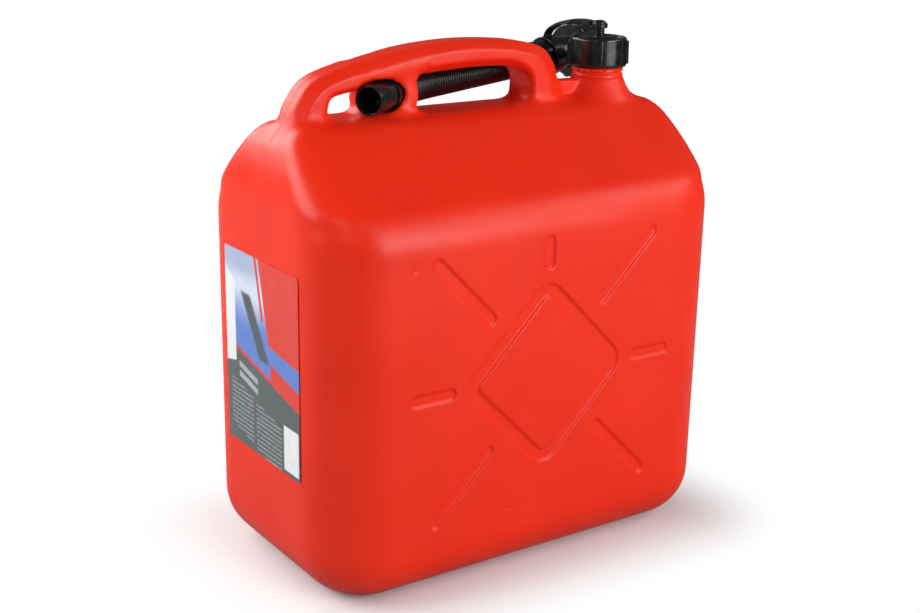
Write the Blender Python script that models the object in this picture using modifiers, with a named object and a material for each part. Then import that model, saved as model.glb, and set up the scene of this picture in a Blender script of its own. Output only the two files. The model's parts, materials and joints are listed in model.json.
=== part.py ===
"""Plastic fuel can with a tethered screw cap and a pouring spout stored through its handle.

A blow-moulded canister with a hollow handle carries the cap, its strap and a flexible ribbed spout.
Metres, +Z up. The origin is on the ground under the middle of the body, +X runs along the body
towards the neck, and the embossed faces look along -Y and +Y.
"""

import math

import bmesh
import bpy
from mathutils import Matrix, Vector

# Body
BODY_LENGTH = 0.354
BODY_WIDTH = 0.210
BODY_HEIGHT = 0.337
BODY_WALL = 0.0026
PLAN_CORNER = 0.050
CREST_CORNER = 0.006
BASE_FILLET = 0.040
SIDE_FOLD_HEIGHT = 0.278
SIDE_FOLD_FILLET = 0.037
CREST_WIDTH = 0.049
CREST_FILLET = 0.045
END_FOLD_HEIGHT = 0.302
END_FOLD_FILLET = 0.110
END_SLOPE_INSET = 0.0145
END_CROWN_FILLET = 0.026
BASE_PANEL_MARGIN = 0.052
BASE_PANEL_DEPTH = 0.0015
CORNER_STEPS = 6
FILLET_STEPS = 5

# Handle
HANDLE_RISE = 0.050
HANDLE_END_MARGIN = 0.017
HANDLE_NECK_GAP = 0.026
HANDLE_WIDTH = 0.034
HANDLE_WALL = 0.0045
HANDLE_CHAMFER = 0.0075
HANDLE_ROOT_DEPTH = 0.013
HANDLE_STEPS = 2
CHAMFER_LIMIT_SHARE = 0.6
FLARE_LIMIT_SHARE = 0.3
WEB_PLACE_SHARE = 0.356
WEB_LEFT_REACH = 0.028
WEB_RIGHT_REACH = 0.014
WEB_FILLET = 0.006
WEB_FILLET_STEPS = 3
WEB_WIDTH = 0.031
WEB_TOP_SHARE = 0.72

# Neck
NECK_END_MARGIN = 0.054
NECK_HEIGHT = 0.0394
NECK_RADIUS = 0.0190
NECK_WALL = 0.0022
NECK_BEAD_RADIUS = 0.0203
NECK_BEAD_HEIGHT = 0.0021
NECK_BEAD_PITCH = 0.0046
NECK_CONE_RADIUS = 0.0285
NECK_CONE_HEIGHT = 0.0145
GUSSET_WIDTH = 0.006
GUSSET_HEIGHT = 0.0138

# Embossed pattern of the two broad faces
GROOVE_WIDTH = 0.0084
GROOVE_DEPTH = 0.0014
PATTERN_HEIGHT = 0.155
DIAMOND_REACH = 0.0665
DIAMOND_CORNER = 0.010
DIAMOND_CORNER_STEPS = 3
DIAMOND_TUBE_RESOLUTION = 4
SHORT_BAR_START = 0.0795
SHORT_BAR_LENGTH = 0.0385
UPRIGHT_BAR_LENGTH = 0.0245
DIAGONAL_BAR_START = 0.0670
DIAGONAL_BAR_LENGTH = 0.0725

# Cap
CAP_SKIRT_HEIGHT = 0.0212
CAP_RADIUS = 0.0222
CAP_TOP_THICKNESS = 0.0022
CAP_RIM_WIDTH = 0.0024
CAP_RIM_DEPTH = 0.0012
CAP_DISC_RADIUS = 0.0140
CAP_THREAD_CLEARANCE = 0.0004
LUG_COUNT = 5
LUG_REACH = 0.0023
LUG_WIDTH = 0.0072
LUG_TOP_DROP = 0.0024
LUG_TURN_DEGREES = 227.7
STUD_STEM_HEIGHT = 0.0103
STUD_STEM_RADIUS = 0.0044
STUD_HEAD_RADIUS = 0.0054
STUD_HEAD_HEIGHT = 0.0036
STUD_DOME_STEPS = 3
CAP_GASKET_THICKNESS = 0.0018
CAP_GASKET_WIDTH = 0.0045

# Tether strap
STRAP_THICKNESS = 0.0022
STRAP_BAND_THICKNESS = 0.0017
STRAP_WIDTH = 0.0105
STRAP_EYE_RADIUS = 0.0066
STRAP_EYE_CLEARANCE = 0.0003
STRAP_ARCH = 0.0070
STRAP_RISE_SHARE = 0.85
STRAP_LOOP_SETBACK = 0.0348
STRAP_STEPS = 14

# Spout
NOZZLE_RADIUS = 0.01075
NOZZLE_WALL = 0.0015
NOZZLE_LENGTH = 0.038
NOZZLE_REACH = 0.0672
NOZZLE_LIP = 0.0005
NOZZLE_OVERLAP = 0.012
STORAGE_BORE_RADIUS = 0.0126
STORAGE_BORE_LIFT = 0.0008
NOZZLE_YAW_DEGREES = 32
NOZZLE_RISE_DEGREES = 1.5
BEND_SETBACK = 0.03007
NUT_LIFT = 0.02801
HOSE_RADIUS = 0.0120
HOSE_RIB_DEPTH = 0.0010
HOSE_RIB_PITCH = 0.0024
HOSE_WALL = 0.0013
HOSE_CUFF_LENGTH = 0.025
HOSE_BEND_RADIUS = 0.096
HOSE_TUBE_RESOLUTION = 5
SLEEVE_RADIUS = 0.0147
SLEEVE_WALL = 0.0013
SLEEVE_LENGTH = 0.068
SLEEVE_GRIP = 0.013
SLEEVE_FLANGE_THICKNESS = 0.0020
SLEEVE_FILLET = 0.0016
NUT_LENGTH = 0.0160
NUT_WALL = 0.0020
NUT_LIP = 0.0022
NUT_LUG_REACH = 0.0012
NUT_LUG_WIDTH = 0.0040
NUT_LUG_COUNT = 14
NUT_SETBACK = 0.0190
NUT_CAP_CLEARANCE = 0.0048
SPOUT_GASKET_THICKNESS = 0.0018
SPOUT_GASKET_WIDTH = 0.0048

# Label on the narrow end face
LABEL_WIDTH = 0.112
LABEL_HEIGHT = 0.150
LABEL_THICKNESS = 0.0003
LABEL_FOOT = 0.091
LABEL_CORNER = 0.002
LABEL_CORNER_STEPS = 3

# Clearances and cutting
SEAT_GAP = 0.0003
CUT_OVERRUN = 0.004
MERGE_DISTANCE = 0.00001
HEIGHT_DIGITS = 7
TURN_STEPS = 40
BAR_SEGMENTS = 12
BORE_STEPS = 28
BORE_POINT_STRIDE = 4
FILLET_LIMIT_SHARE = 0.49
ROUND_BEVEL_SHARE = 0.5
SHARP_DEGREES = 35
HOSE_SHARP_DEGREES = 60

# The handle's outer and inner lines. Each row holds the share of the handle's length and of its rise
# at the outer line, then at the inner line, and then the shares that shape the section there: the outer
# chamfer's run along the section, the half width of the outer band, the inner flare's run and the half
# width of the inner band.
HANDLE_ROW_SHARES = (
    (0.000, -0.255, 0.150, -0.255, 1.00, 0.55, 0.80, 0.60),
    (0.010, 0.020, 0.130, 0.050, 1.00, 0.55, 0.80, 0.60),
    (0.039, 0.310, 0.131, 0.225, 1.00, 0.55, 0.80, 0.60),
    (0.079, 0.540, 0.148, 0.325, 1.00, 0.55, 0.80, 0.60),
    (0.150, 0.692, 0.215, 0.385, 1.00, 0.55, 0.80, 0.60),
    (0.282, 0.848, 0.315, 0.455, 1.00, 0.55, 0.80, 0.60),
    (0.415, 0.953, 0.435, 0.545, 0.90, 0.55, 0.80, 0.60),
    (0.565, 1.000, 0.577, 0.597, 0.80, 0.55, 0.80, 0.60),
    (0.703, 0.972, 0.695, 0.592, 0.90, 0.55, 0.80, 0.60),
    (0.809, 0.908, 0.757, 0.549, 1.30, 0.50, 0.60, 0.65),
    (0.886, 0.800, 0.793, 0.451, 1.90, 0.42, 0.40, 0.75),
    (0.932, 0.570, 0.805, 0.294, 2.40, 0.36, 0.35, 0.80),
    (0.958, 0.290, 0.805, 0.098, 2.60, 0.33, 0.35, 0.80),
    (0.980, -0.010, 0.799, -0.059, 2.60, 0.33, 0.35, 0.80),
    (0.990, -0.255, 0.795, -0.255, 2.60, 0.33, 0.35, 0.80),
)

# Colours and roughness
RED = (0.79, 0.040, 0.018)
RED_ROUGHNESS = 0.38
BLACK = (0.012, 0.012, 0.013)
BLACK_ROUGHNESS = 0.30
RUBBER = (0.030, 0.030, 0.032)
RUBBER_ROUGHNESS = 0.70
PAPER = (0.62, 0.70, 0.80)
PAPER_ROUGHNESS = 0.35

# Places worked out from the sizes
NECK_X = BODY_LENGTH / 2 - NECK_END_MARGIN
HANDLE_LEFT = -BODY_LENGTH / 2 + HANDLE_END_MARGIN
HANDLE_RIGHT = NECK_X - HANDLE_NECK_GAP
HANDLE_LENGTH = HANDLE_RIGHT - HANDLE_LEFT
NECK_TOP = BODY_HEIGHT + NECK_HEIGHT
CAP_BORE = NECK_RADIUS + CAP_THREAD_CLEARANCE
CAP_UNDERSIDE = NECK_TOP + CAP_GASKET_THICKNESS + 2 * SEAT_GAP
CAP_TOP = CAP_UNDERSIDE + CAP_TOP_THICKNESS
CAP_FOOT = CAP_TOP - CAP_SKIRT_HEIGHT
CAP_REACH = CAP_RADIUS + LUG_REACH
STUD_HEAD_FOOT = CAP_TOP + STUD_STEM_HEIGHT
EYE_FOOT = STUD_HEAD_FOOT - SEAT_GAP - STRAP_THICKNESS
STUD_TOP = STUD_HEAD_FOOT + STUD_HEAD_HEIGHT
NUT_BORE = NECK_RADIUS + CAP_THREAD_CLEARANCE
NUT_RADIUS = NUT_BORE + NUT_WALL
NUT_REACH = NUT_RADIUS + NUT_LUG_REACH

# The spout's two straight lines. The nozzle's passes through the handle's web, the hose's ends in the
# nut behind the cap, and they meet where the hose bends.
NOZZLE_YAW = math.radians(NOZZLE_YAW_DEGREES)
NOZZLE_RISE = math.radians(NOZZLE_RISE_DEGREES)
WEB_X = HANDLE_LEFT + WEB_PLACE_SHARE * HANDLE_LENGTH
NOZZLE_LEVEL = BODY_HEIGHT + STORAGE_BORE_RADIUS + STORAGE_BORE_LIFT
BEND = Vector((
    WEB_X + BEND_SETBACK * math.cos(NOZZLE_YAW),
    BEND_SETBACK * math.sin(NOZZLE_YAW),
    NOZZLE_LEVEL + NOZZLE_REACH * math.sin(NOZZLE_RISE),
))
NUT_CENTRE = Vector((
    NECK_X + NUT_SETBACK,
    CAP_REACH + NUT_REACH + NUT_CAP_CLEARANCE,
    BODY_HEIGHT + NUT_LIFT,
))
HOSE_LINE = (NUT_CENTRE - BEND).normalized()
NOZZLE_LINE = Vector((math.cos(NOZZLE_YAW), math.sin(NOZZLE_YAW), math.tan(NOZZLE_RISE))).normalized()
NOZZLE_TIP = BEND - NOZZLE_LINE * NOZZLE_REACH
LOOP_CENTRE = NUT_CENTRE - HOSE_LINE * STRAP_LOOP_SETBACK
LOOP_UP = (Vector((0, 0, 1)) - HOSE_LINE * HOSE_LINE.z).normalized()


def clear_scene():
    """Remove the objects of the scene that the script is run in."""
    for obj in list(bpy.data.objects):
        bpy.data.objects.remove(obj, do_unlink=True)


def collection_named(name, above=None):
    """A new collection, in the scene or inside another collection."""
    made = bpy.data.collections.new(name)
    (above or bpy.context.scene.collection).children.link(made)
    made.hide_render = above is not None
    return made


def material_named(name, colour, roughness):
    """A Principled material of one colour."""
    made = bpy.data.materials.new(name)
    made.use_nodes = True
    shader = made.node_tree.nodes["Principled BSDF"]
    shader.inputs["Base Color"].default_value = (*colour, 1.0)
    shader.inputs["Roughness"].default_value = roughness
    made.diffuse_color = (*colour, 1.0)
    return made


def object_from(bm, name, collection, material=None):
    """Turn a bmesh into an object in a collection, with its faces flat and turned outwards."""
    bmesh.ops.triangulate(bm, faces=[face for face in bm.faces if len(face.verts) == 4])
    bmesh.ops.recalc_face_normals(bm, faces=bm.faces)
    mesh = bpy.data.meshes.new(name)
    bm.to_mesh(mesh)
    bm.free()
    made = bpy.data.objects.new(name, mesh)
    collection.objects.link(made)
    if material:
        mesh.materials.append(material)
    return made


def as_cutter(obj):
    """Mark an object as a helper that shapes others."""
    obj.hide_render = True
    obj.display_type = "WIRE"
    return obj


def boolean(target, tools, operation):
    """Join the target with every body of a collection, or cut them all out of it, in one exact step."""
    step = target.modifiers.new(tools.name, "BOOLEAN")
    step.operation = operation
    step.solver = "EXACT"
    step.operand_type = "COLLECTION"
    step.collection = tools


def smooth(obj, degrees=SHARP_DEGREES):
    """Shade an object smooth, keeping its real edges sharp."""
    obj.data.shade_smooth()
    obj.data.set_sharp_from_angle(angle=math.radians(degrees))


def filleted(points, radii, steps=FILLET_STEPS, cyclic=False):
    """Points of a flat polyline whose corners are replaced by arcs; a radius of zero keeps the corner."""
    count = len(points)
    out = []
    for i, corner in enumerate(points):
        radius = radii[i]
        if radius <= 0 or (not cyclic and i in (0, count - 1)):
            out.append(Vector(corner))
            continue
        here = Vector(corner)
        back = Vector(points[i - 1]) - here
        ahead = Vector(points[(i + 1) % count]) - here
        angle = back.angle(ahead)
        room = FILLET_LIMIT_SHARE * min(back.length, ahead.length)
        cut = min(radius / math.tan(angle / 2), room)
        radius = cut * math.tan(angle / 2)
        start = here + back.normalized() * cut
        halfway = (back.normalized() + ahead.normalized()).normalized()
        centre = here + halfway * (radius / math.sin(angle / 2))
        turn = (start - centre).angle_signed(here + ahead.normalized() * cut - centre)
        for k in range(steps + 1):
            arm = (start - centre).copy()
            arm.rotate(Matrix.Rotation(-turn * k / steps, 2))
            out.append(centre + arm)
    return out


def inset_line(points, distance):
    """Move each stretch of a flat polyline sideways by a distance, to its left, and join them again."""
    lines = []
    for a, b in zip(points, points[1:]):
        run = Vector(b) - Vector(a)
        side = Vector((-run.y, run.x)).normalized() * distance
        lines.append((Vector(a) + side, run.normalized()))
    out = [lines[0][0]]
    for (p, u), (q, v) in zip(lines, lines[1:]):
        cross = u.x * v.y - u.y * v.x
        gap = q - p
        out.append(p + u * ((gap.x * v.y - gap.y * v.x) / cross))
    last_run = Vector(points[-1]) - Vector(points[-2])
    out.append(lines[-1][0] + last_run.normalized() * last_run.length)
    return out


def value_at(line, height):
    """The first coordinate of a rising polyline at a height."""
    for low, high in zip(line, line[1:]):
        if low.y <= height <= high.y and high.y > low.y:
            return low.x + (high.x - low.x) * (height - low.y) / (high.y - low.y)
    return line[0].x if height < line[0].y else line[-1].x


def rounded_ring(half_x, half_y, corner, height, steps=CORNER_STEPS):
    """A level ring of points round a rectangle with rounded corners."""
    corner = min(corner, half_x, half_y)
    ring = []
    for quarter, (sx, sy) in enumerate(((1, 1), (-1, 1), (-1, -1), (1, -1))):
        for k in range(steps + 1):
            turn = math.pi / 2 * (quarter + k / steps)
            x = sx * (half_x - corner) + corner * math.cos(turn)
            y = sy * (half_y - corner) + corner * math.sin(turn)
            ring.append(Vector((x, y, height)))
    return ring


def loft(rings, name, collection, material=None):
    """A closed body through rings of equally many points, with its two ends filled."""
    bm = bmesh.new()
    rows = [[bm.verts.new(point) for point in ring] for ring in rings]
    count = len(rows[0])
    for low, high in zip(rows, rows[1:]):
        for k in range(count):
            bm.faces.new((low[k], low[(k + 1) % count], high[(k + 1) % count], high[k]))
    bm.faces.new(rows[0])
    bm.faces.new(rows[-1])
    return object_from(bm, name, collection, material)


def turned(profile, name, collection, material=None, steps=TURN_STEPS):
    """A body turned about Z from a profile of (radius, height) that runs down its outer side."""
    bm = bmesh.new()
    closed = profile[0] == profile[-1]
    row = [bm.verts.new((radius, 0, height)) for radius, height in profile[closed:]]
    if closed:
        row.insert(0, row[-1])
    for a, b in zip(row, row[1:]):
        bm.edges.new((a, b))
    mesh = bpy.data.meshes.new(name)
    bm.to_mesh(mesh)
    bm.free()
    made = bpy.data.objects.new(name, mesh)
    collection.objects.link(made)
    if material:
        mesh.materials.append(material)
    step = made.modifiers.new("turn", "SCREW")
    step.steps = steps
    step.render_steps = steps
    step.use_merge_vertices = True
    step.merge_threshold = MERGE_DISTANCE
    step.use_normal_calculate = False
    return made


def ring_profile(inner, outer, low, high):
    """The profile of a plain ring, closed on itself."""
    return ((inner, high), (outer, high), (outer, low), (inner, low), (inner, high))


def rod_profile(radius, low, high):
    """The profile of a plain rod."""
    return ((0, high), (radius, high), (radius, low), (0, low))


def block(low, high, name, collection, rounding=None):
    """A box between two corners. A rounding of (axis, radius, steps) rounds the edges along that axis."""
    bm = bmesh.new()
    bmesh.ops.create_cube(bm, size=1)
    size = Vector(high) - Vector(low)
    middle = (Vector(high) + Vector(low)) / 2
    for vert in bm.verts:
        vert.co = Vector((vert.co.x * size.x, vert.co.y * size.y, vert.co.z * size.z)) + middle
    if rounding:
        axis, radius, steps = rounding
        along = [
            edge for edge in bm.edges
            if abs(edge.verts[0].co[axis] - edge.verts[1].co[axis]) > MERGE_DISTANCE
        ]
        bmesh.ops.bevel(
            bm, geom=along, offset=radius, segments=steps, profile=ROUND_BEVEL_SHARE, affect="EDGES",
            material=-1,
        )
    return object_from(bm, name, collection)


def aimed(origin, direction):
    """A matrix whose Z axis points in a direction from an origin."""
    return Matrix.Translation(origin) @ direction.to_track_quat("Z", "Y").to_matrix().to_4x4()


def tube_mesh(points, radii, name, collection, resolution, cyclic=False):
    """A mesh tube through points, from a bevelled curve with filled caps."""
    curve = bpy.data.curves.new(name, "CURVE")
    curve.dimensions = "3D"
    curve.bevel_depth = 1
    curve.bevel_resolution = resolution
    curve.use_fill_caps = True
    spline = curve.splines.new("POLY")
    spline.points.add(len(points) - 1)
    for slot, point, radius in zip(spline.points, points, radii):
        slot.co = (*point, 1)
        slot.radius = radius
    spline.use_cyclic_u = cyclic
    guide = bpy.data.objects.new(name + " guide", curve)
    collection.objects.link(guide)
    bpy.context.view_layer.update()
    graph = bpy.context.evaluated_depsgraph_get()
    mesh = bpy.data.meshes.new_from_object(guide.evaluated_get(graph))
    bpy.data.objects.remove(guide, do_unlink=True)
    bpy.data.curves.remove(curve)
    bm = bmesh.new()
    bm.from_mesh(mesh)
    bpy.data.meshes.remove(mesh)
    bmesh.ops.remove_doubles(bm, verts=bm.verts, dist=MERGE_DISTANCE)
    return object_from(bm, name, collection)


# Body

def body_lines(depth):
    """The body's upright outlines, across and along, for a skin a given depth inside the outer surface."""
    half_width = BODY_WIDTH / 2
    half_length = BODY_LENGTH / 2
    across = [
        (0, 0),
        (half_width, 0),
        (half_width, SIDE_FOLD_HEIGHT),
        (CREST_WIDTH / 2, BODY_HEIGHT),
        (0, BODY_HEIGHT),
    ]
    along = [
        (0, 0),
        (half_length, 0),
        (half_length, END_FOLD_HEIGHT),
        (half_length - END_SLOPE_INSET, BODY_HEIGHT),
        (0, BODY_HEIGHT),
    ]
    across_radii = [0, BASE_FILLET, SIDE_FOLD_FILLET, CREST_FILLET, 0]
    along_radii = [0, BASE_FILLET, END_FOLD_FILLET, END_CROWN_FILLET, 0]
    across = inset_line(across, depth)
    along = inset_line(along, depth)
    across = filleted(across, [max(r - depth, 0) for r in across_radii])
    along = filleted(along, [max(r - depth, 0) for r in along_radii])
    return across[1:-1], along[1:-1]


def body_rings(depth):
    """Level rings of the body's skin at a depth inside the outer surface."""
    across, along = body_lines(depth)
    low = across[0].y
    top = across[-1].y
    levels = {round(p.y, HEIGHT_DIGITS) for p in across + along}
    heights = sorted(level for level in levels if low - SEAT_GAP / 2 < level < top + SEAT_GAP / 2)
    kept = [heights[0]]
    for height in heights[1:]:
        if height - kept[-1] > SEAT_GAP:
            kept.append(height)
    kept[-1] = top
    rings = []
    for height in kept:
        half_x = value_at(along, height)
        half_y = value_at(across, height)
        if height == kept[0]:
            half_x, half_y = along[0].x, across[0].x
        if height == kept[-1]:
            half_x, half_y = along[-1].x, across[-1].x
        climb = min(max((height - SIDE_FOLD_HEIGHT) / (BODY_HEIGHT - SIDE_FOLD_HEIGHT), 0), 1)
        corner = PLAN_CORNER + (CREST_CORNER - PLAN_CORNER) * climb - depth
        corner -= BODY_WIDTH / 2 - depth - half_y if height < SIDE_FOLD_HEIGHT / 2 else 0
        rings.append(rounded_ring(half_x, half_y, max(corner, SEAT_GAP), height))
    return rings


def handle_sections(depth):
    """Rings of the handle from its end root to its neck root, at a depth inside its surface."""
    rows = []
    for i in range(len(HANDLE_ROW_SHARES) - 1):
        before = HANDLE_ROW_SHARES[max(i - 1, 0)]
        here = HANDLE_ROW_SHARES[i]
        after = HANDLE_ROW_SHARES[i + 1]
        beyond = HANDLE_ROW_SHARES[min(i + 2, len(HANDLE_ROW_SHARES) - 1)]
        for k in range(HANDLE_STEPS):
            t = k / HANDLE_STEPS
            rows.append([
                b + (c - a) * t / 2 + (2 * a - 5 * b + 4 * c - d) * t ** 2 / 2
                + (3 * b - a - 3 * c + d) * t ** 3 / 2
                for a, b, c, d in zip(before, here, after, beyond)
            ])
    rows.append(list(HANDLE_ROW_SHARES[-1]))
    rings = []
    for ox, oz, ix, iz, chamfer, band, flare, inner_band in rows:
        outer = Vector((HANDLE_LEFT + ox * HANDLE_LENGTH, 0, BODY_HEIGHT + oz * HANDLE_RISE))
        inner = Vector((HANDLE_LEFT + ix * HANDLE_LENGTH, 0, BODY_HEIGHT + iz * HANDLE_RISE))
        reach = (outer - inner).normalized()
        span = (outer - inner).length - 2 * depth
        inner = inner + reach * depth
        half = HANDLE_WIDTH / 2 - depth
        chamfer_run = min(chamfer * HANDLE_CHAMFER, CHAMFER_LIMIT_SHARE * span)
        flare_run = min(flare * HANDLE_CHAMFER, FLARE_LIMIT_SHARE * span)
        shape = (
            (span, band * half),
            (span - chamfer_run, half),
            (flare_run, half),
            (0, inner_band * half),
            (0, -inner_band * half),
            (flare_run, -half),
            (span - chamfer_run, -half),
            (span, -band * half),
        )
        rings.append([inner + reach * along + Vector((0, across, 0)) for along, across in shape])
    return rings


def neck_profile():
    """The neck's outer profile, from its mouth down its outer side to a stub inside the body."""
    bead_low = BODY_HEIGHT + NECK_CONE_HEIGHT
    profile = [(0, NECK_TOP), (NECK_RADIUS, NECK_TOP)]
    for number in (1, 0):
        foot = bead_low + number * NECK_BEAD_PITCH
        profile += [
            (NECK_RADIUS, foot + NECK_BEAD_HEIGHT + (NECK_BEAD_RADIUS - NECK_RADIUS)),
            (NECK_BEAD_RADIUS, foot + NECK_BEAD_HEIGHT),
            (NECK_BEAD_RADIUS, foot),
        ]
        if number:
            profile.append((NECK_RADIUS, foot - (NECK_BEAD_RADIUS - NECK_RADIUS)))
    profile += [
        (NECK_CONE_RADIUS, BODY_HEIGHT),
        (NECK_CONE_RADIUS, BODY_HEIGHT - BODY_WALL),
        (0, BODY_HEIGHT - BODY_WALL),
    ]
    return profile


def capsule(start, end, radius, bm, segments=BAR_SEGMENTS):
    """Add to a bmesh a rod with round ends between two points."""
    direction = end - start
    rows = segments // 2 + 1
    made = bmesh.ops.create_uvsphere(bm, u_segments=segments, v_segments=rows, radius=radius)
    for vert in made["verts"]:
        if vert.co.z > 0:
            vert.co.z += direction.length
    bmesh.ops.transform(bm, matrix=aimed(start, direction), verts=made["verts"])


def pattern_cutter(collection):
    """The grooves of both broad faces: a diamond, three short bars and four long diagonals."""
    tool_radius = (GROOVE_WIDTH ** 2 / 4 + GROOVE_DEPTH ** 2) / (2 * GROOVE_DEPTH)
    plane = -(BODY_WIDTH / 2 - GROOVE_DEPTH + tool_radius)
    corners = [
        (0, PATTERN_HEIGHT + DIAMOND_REACH),
        (DIAMOND_REACH, PATTERN_HEIGHT),
        (0, PATTERN_HEIGHT - DIAMOND_REACH),
        (-DIAMOND_REACH, PATTERN_HEIGHT),
    ]
    outline = filleted(corners, [DIAMOND_CORNER] * len(corners), steps=DIAMOND_CORNER_STEPS, cyclic=True)
    ring = tube_mesh(
        [(p.x, plane, p.y) for p in outline], [tool_radius] * len(outline), "diamond groove", collection,
        DIAMOND_TUBE_RESOLUTION, cyclic=True,
    )
    bm = bmesh.new()
    bm.from_mesh(ring.data)
    bpy.data.objects.remove(ring, do_unlink=True)
    end_inset = GROOVE_WIDTH / 2
    bars = [(0, 1, SHORT_BAR_START, UPRIGHT_BAR_LENGTH)]
    bars += [(side, 0, SHORT_BAR_START, SHORT_BAR_LENGTH) for side in (-1, 1)]
    bars += [(side, up, DIAGONAL_BAR_START, DIAGONAL_BAR_LENGTH) for side in (-1, 1) for up in (-1, 1)]
    for side, up, start, length in bars:
        direction = Vector((side, 0, up)).normalized()
        centre = Vector((0, plane, PATTERN_HEIGHT))
        near_end = centre + direction * (start + end_inset)
        far_end = centre + direction * (start + length - end_inset)
        capsule(near_end, far_end, tool_radius, bm)
    cutter = as_cutter(object_from(bm, "pattern cutter", collection))
    mirror = cutter.modifiers.new("both faces", "MIRROR")
    mirror.use_axis = (False, True, False)
    mirror.merge_threshold = MERGE_DISTANCE
    return cutter


def make_body(parts, cutters, red):
    """The canister: its hollow body, handle, web and neck are one blow-moulded skin."""
    forms = collection_named("can forms", cutters)
    hollows = collection_named("can hollows", cutters)
    body = loft(body_rings(0), "can_body", parts, red)
    as_cutter(loft(handle_sections(0), "handle form", forms))
    as_cutter(block(
        (WEB_X - WEB_LEFT_REACH, -WEB_WIDTH / 2, BODY_HEIGHT - HANDLE_ROOT_DEPTH),
        (WEB_X + WEB_RIGHT_REACH, WEB_WIDTH / 2, BODY_HEIGHT + WEB_TOP_SHARE * HANDLE_RISE),
        "web form", forms, (2, WEB_FILLET, WEB_FILLET_STEPS),
    ))
    neck = as_cutter(turned(neck_profile(), "neck form", forms))
    neck.location.x = NECK_X
    as_cutter(block(
        (HANDLE_RIGHT - NECK_RADIUS, -GUSSET_WIDTH / 2, BODY_HEIGHT - BODY_WALL),
        (NECK_X, GUSSET_WIDTH / 2, BODY_HEIGHT + GUSSET_HEIGHT),
        "gusset form", forms,
    ))
    as_cutter(loft(body_rings(BODY_WALL), "body hollow", hollows))
    as_cutter(loft(handle_sections(HANDLE_WALL), "handle hollow", hollows))
    mouth = as_cutter(turned(
        rod_profile(NECK_RADIUS - NECK_WALL, BODY_HEIGHT - 2 * BODY_WALL, NECK_TOP + CUT_OVERRUN),
        "mouth cutter", hollows,
    ))
    mouth.location.x = NECK_X
    bore = as_cutter(turned(
        rod_profile(STORAGE_BORE_RADIUS, 0, NOZZLE_REACH), "storage bore", hollows, steps=BORE_STEPS,
    ))
    bore.matrix_world = aimed(NOZZLE_TIP, NOZZLE_LINE)
    panel_x = BODY_LENGTH / 2 - BASE_PANEL_MARGIN
    panel_y = BODY_WIDTH / 2 - BASE_PANEL_MARGIN
    as_cutter(loft(
        [rounded_ring(panel_x, panel_y, BASE_PANEL_MARGIN / 2, height)
         for height in (-CUT_OVERRUN, BASE_PANEL_DEPTH)],
        "base panel cutter", hollows,
    ))
    pattern_cutter(hollows)
    boolean(body, forms, "UNION")
    boolean(body, hollows, "DIFFERENCE")
    smooth(body)
    return body


def make_label(parts, paper):
    """The printed film on the narrow end face."""
    low = (-BODY_LENGTH / 2 - SEAT_GAP - LABEL_THICKNESS, -LABEL_WIDTH / 2, LABEL_FOOT)
    high = (-BODY_LENGTH / 2 - SEAT_GAP, LABEL_WIDTH / 2, LABEL_FOOT + LABEL_HEIGHT)
    label = block(low, high, "label", parts, (0, LABEL_CORNER, LABEL_CORNER_STEPS))
    label.data.materials.append(paper)
    return label


# Cap and strap

def cap_profile():
    """The cap's profile about the neck's axis, from the stud's dome down the skirt and up its bore."""
    dome = []
    for k in range(STUD_DOME_STEPS + 1):
        turn = math.pi / 2 * k / STUD_DOME_STEPS
        dome.append((
            STUD_HEAD_RADIUS * math.sin(turn),
            STUD_TOP - STUD_HEAD_HEIGHT / 2 * (1 - math.cos(turn)),
        ))
    rim = CAP_RADIUS - CAP_RIM_WIDTH
    return [
        *dome,
        (STUD_HEAD_RADIUS, STUD_HEAD_FOOT),
        (STUD_STEM_RADIUS, STUD_HEAD_FOOT),
        (STUD_STEM_RADIUS, CAP_TOP),
        (CAP_DISC_RADIUS, CAP_TOP),
        (CAP_DISC_RADIUS, CAP_TOP - CAP_RIM_DEPTH),
        (rim, CAP_TOP - CAP_RIM_DEPTH),
        (rim, CAP_TOP),
        (CAP_RADIUS - CAP_RIM_DEPTH, CAP_TOP),
        (CAP_RADIUS, CAP_TOP - CAP_RIM_DEPTH),
        (CAP_RADIUS, CAP_FOOT),
        (CAP_BORE, CAP_FOOT),
        (CAP_BORE, CAP_UNDERSIDE),
        (0, CAP_UNDERSIDE),
    ]


def lug_ring(count, inner, reach, width, low, high, turn, name, collection):
    """Upright grip lugs round a cylinder, each rooted inside its wall."""
    bm = bmesh.new()
    for k in range(count):
        made = bmesh.ops.create_cube(bm, size=1)
        for vert in made["verts"]:
            out = inner + (reach - inner) * (vert.co.x + 1 / 2)
            level = low + (high - low) * (vert.co.z + 1 / 2)
            vert.co = Vector((out, vert.co.y * width, level))
        angle = math.radians(turn) + 2 * math.pi * k / count
        bmesh.ops.rotate(bm, verts=made["verts"], cent=(0, 0, 0), matrix=Matrix.Rotation(angle, 3, "Z"))
    return as_cutter(object_from(bm, name, collection))


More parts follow.
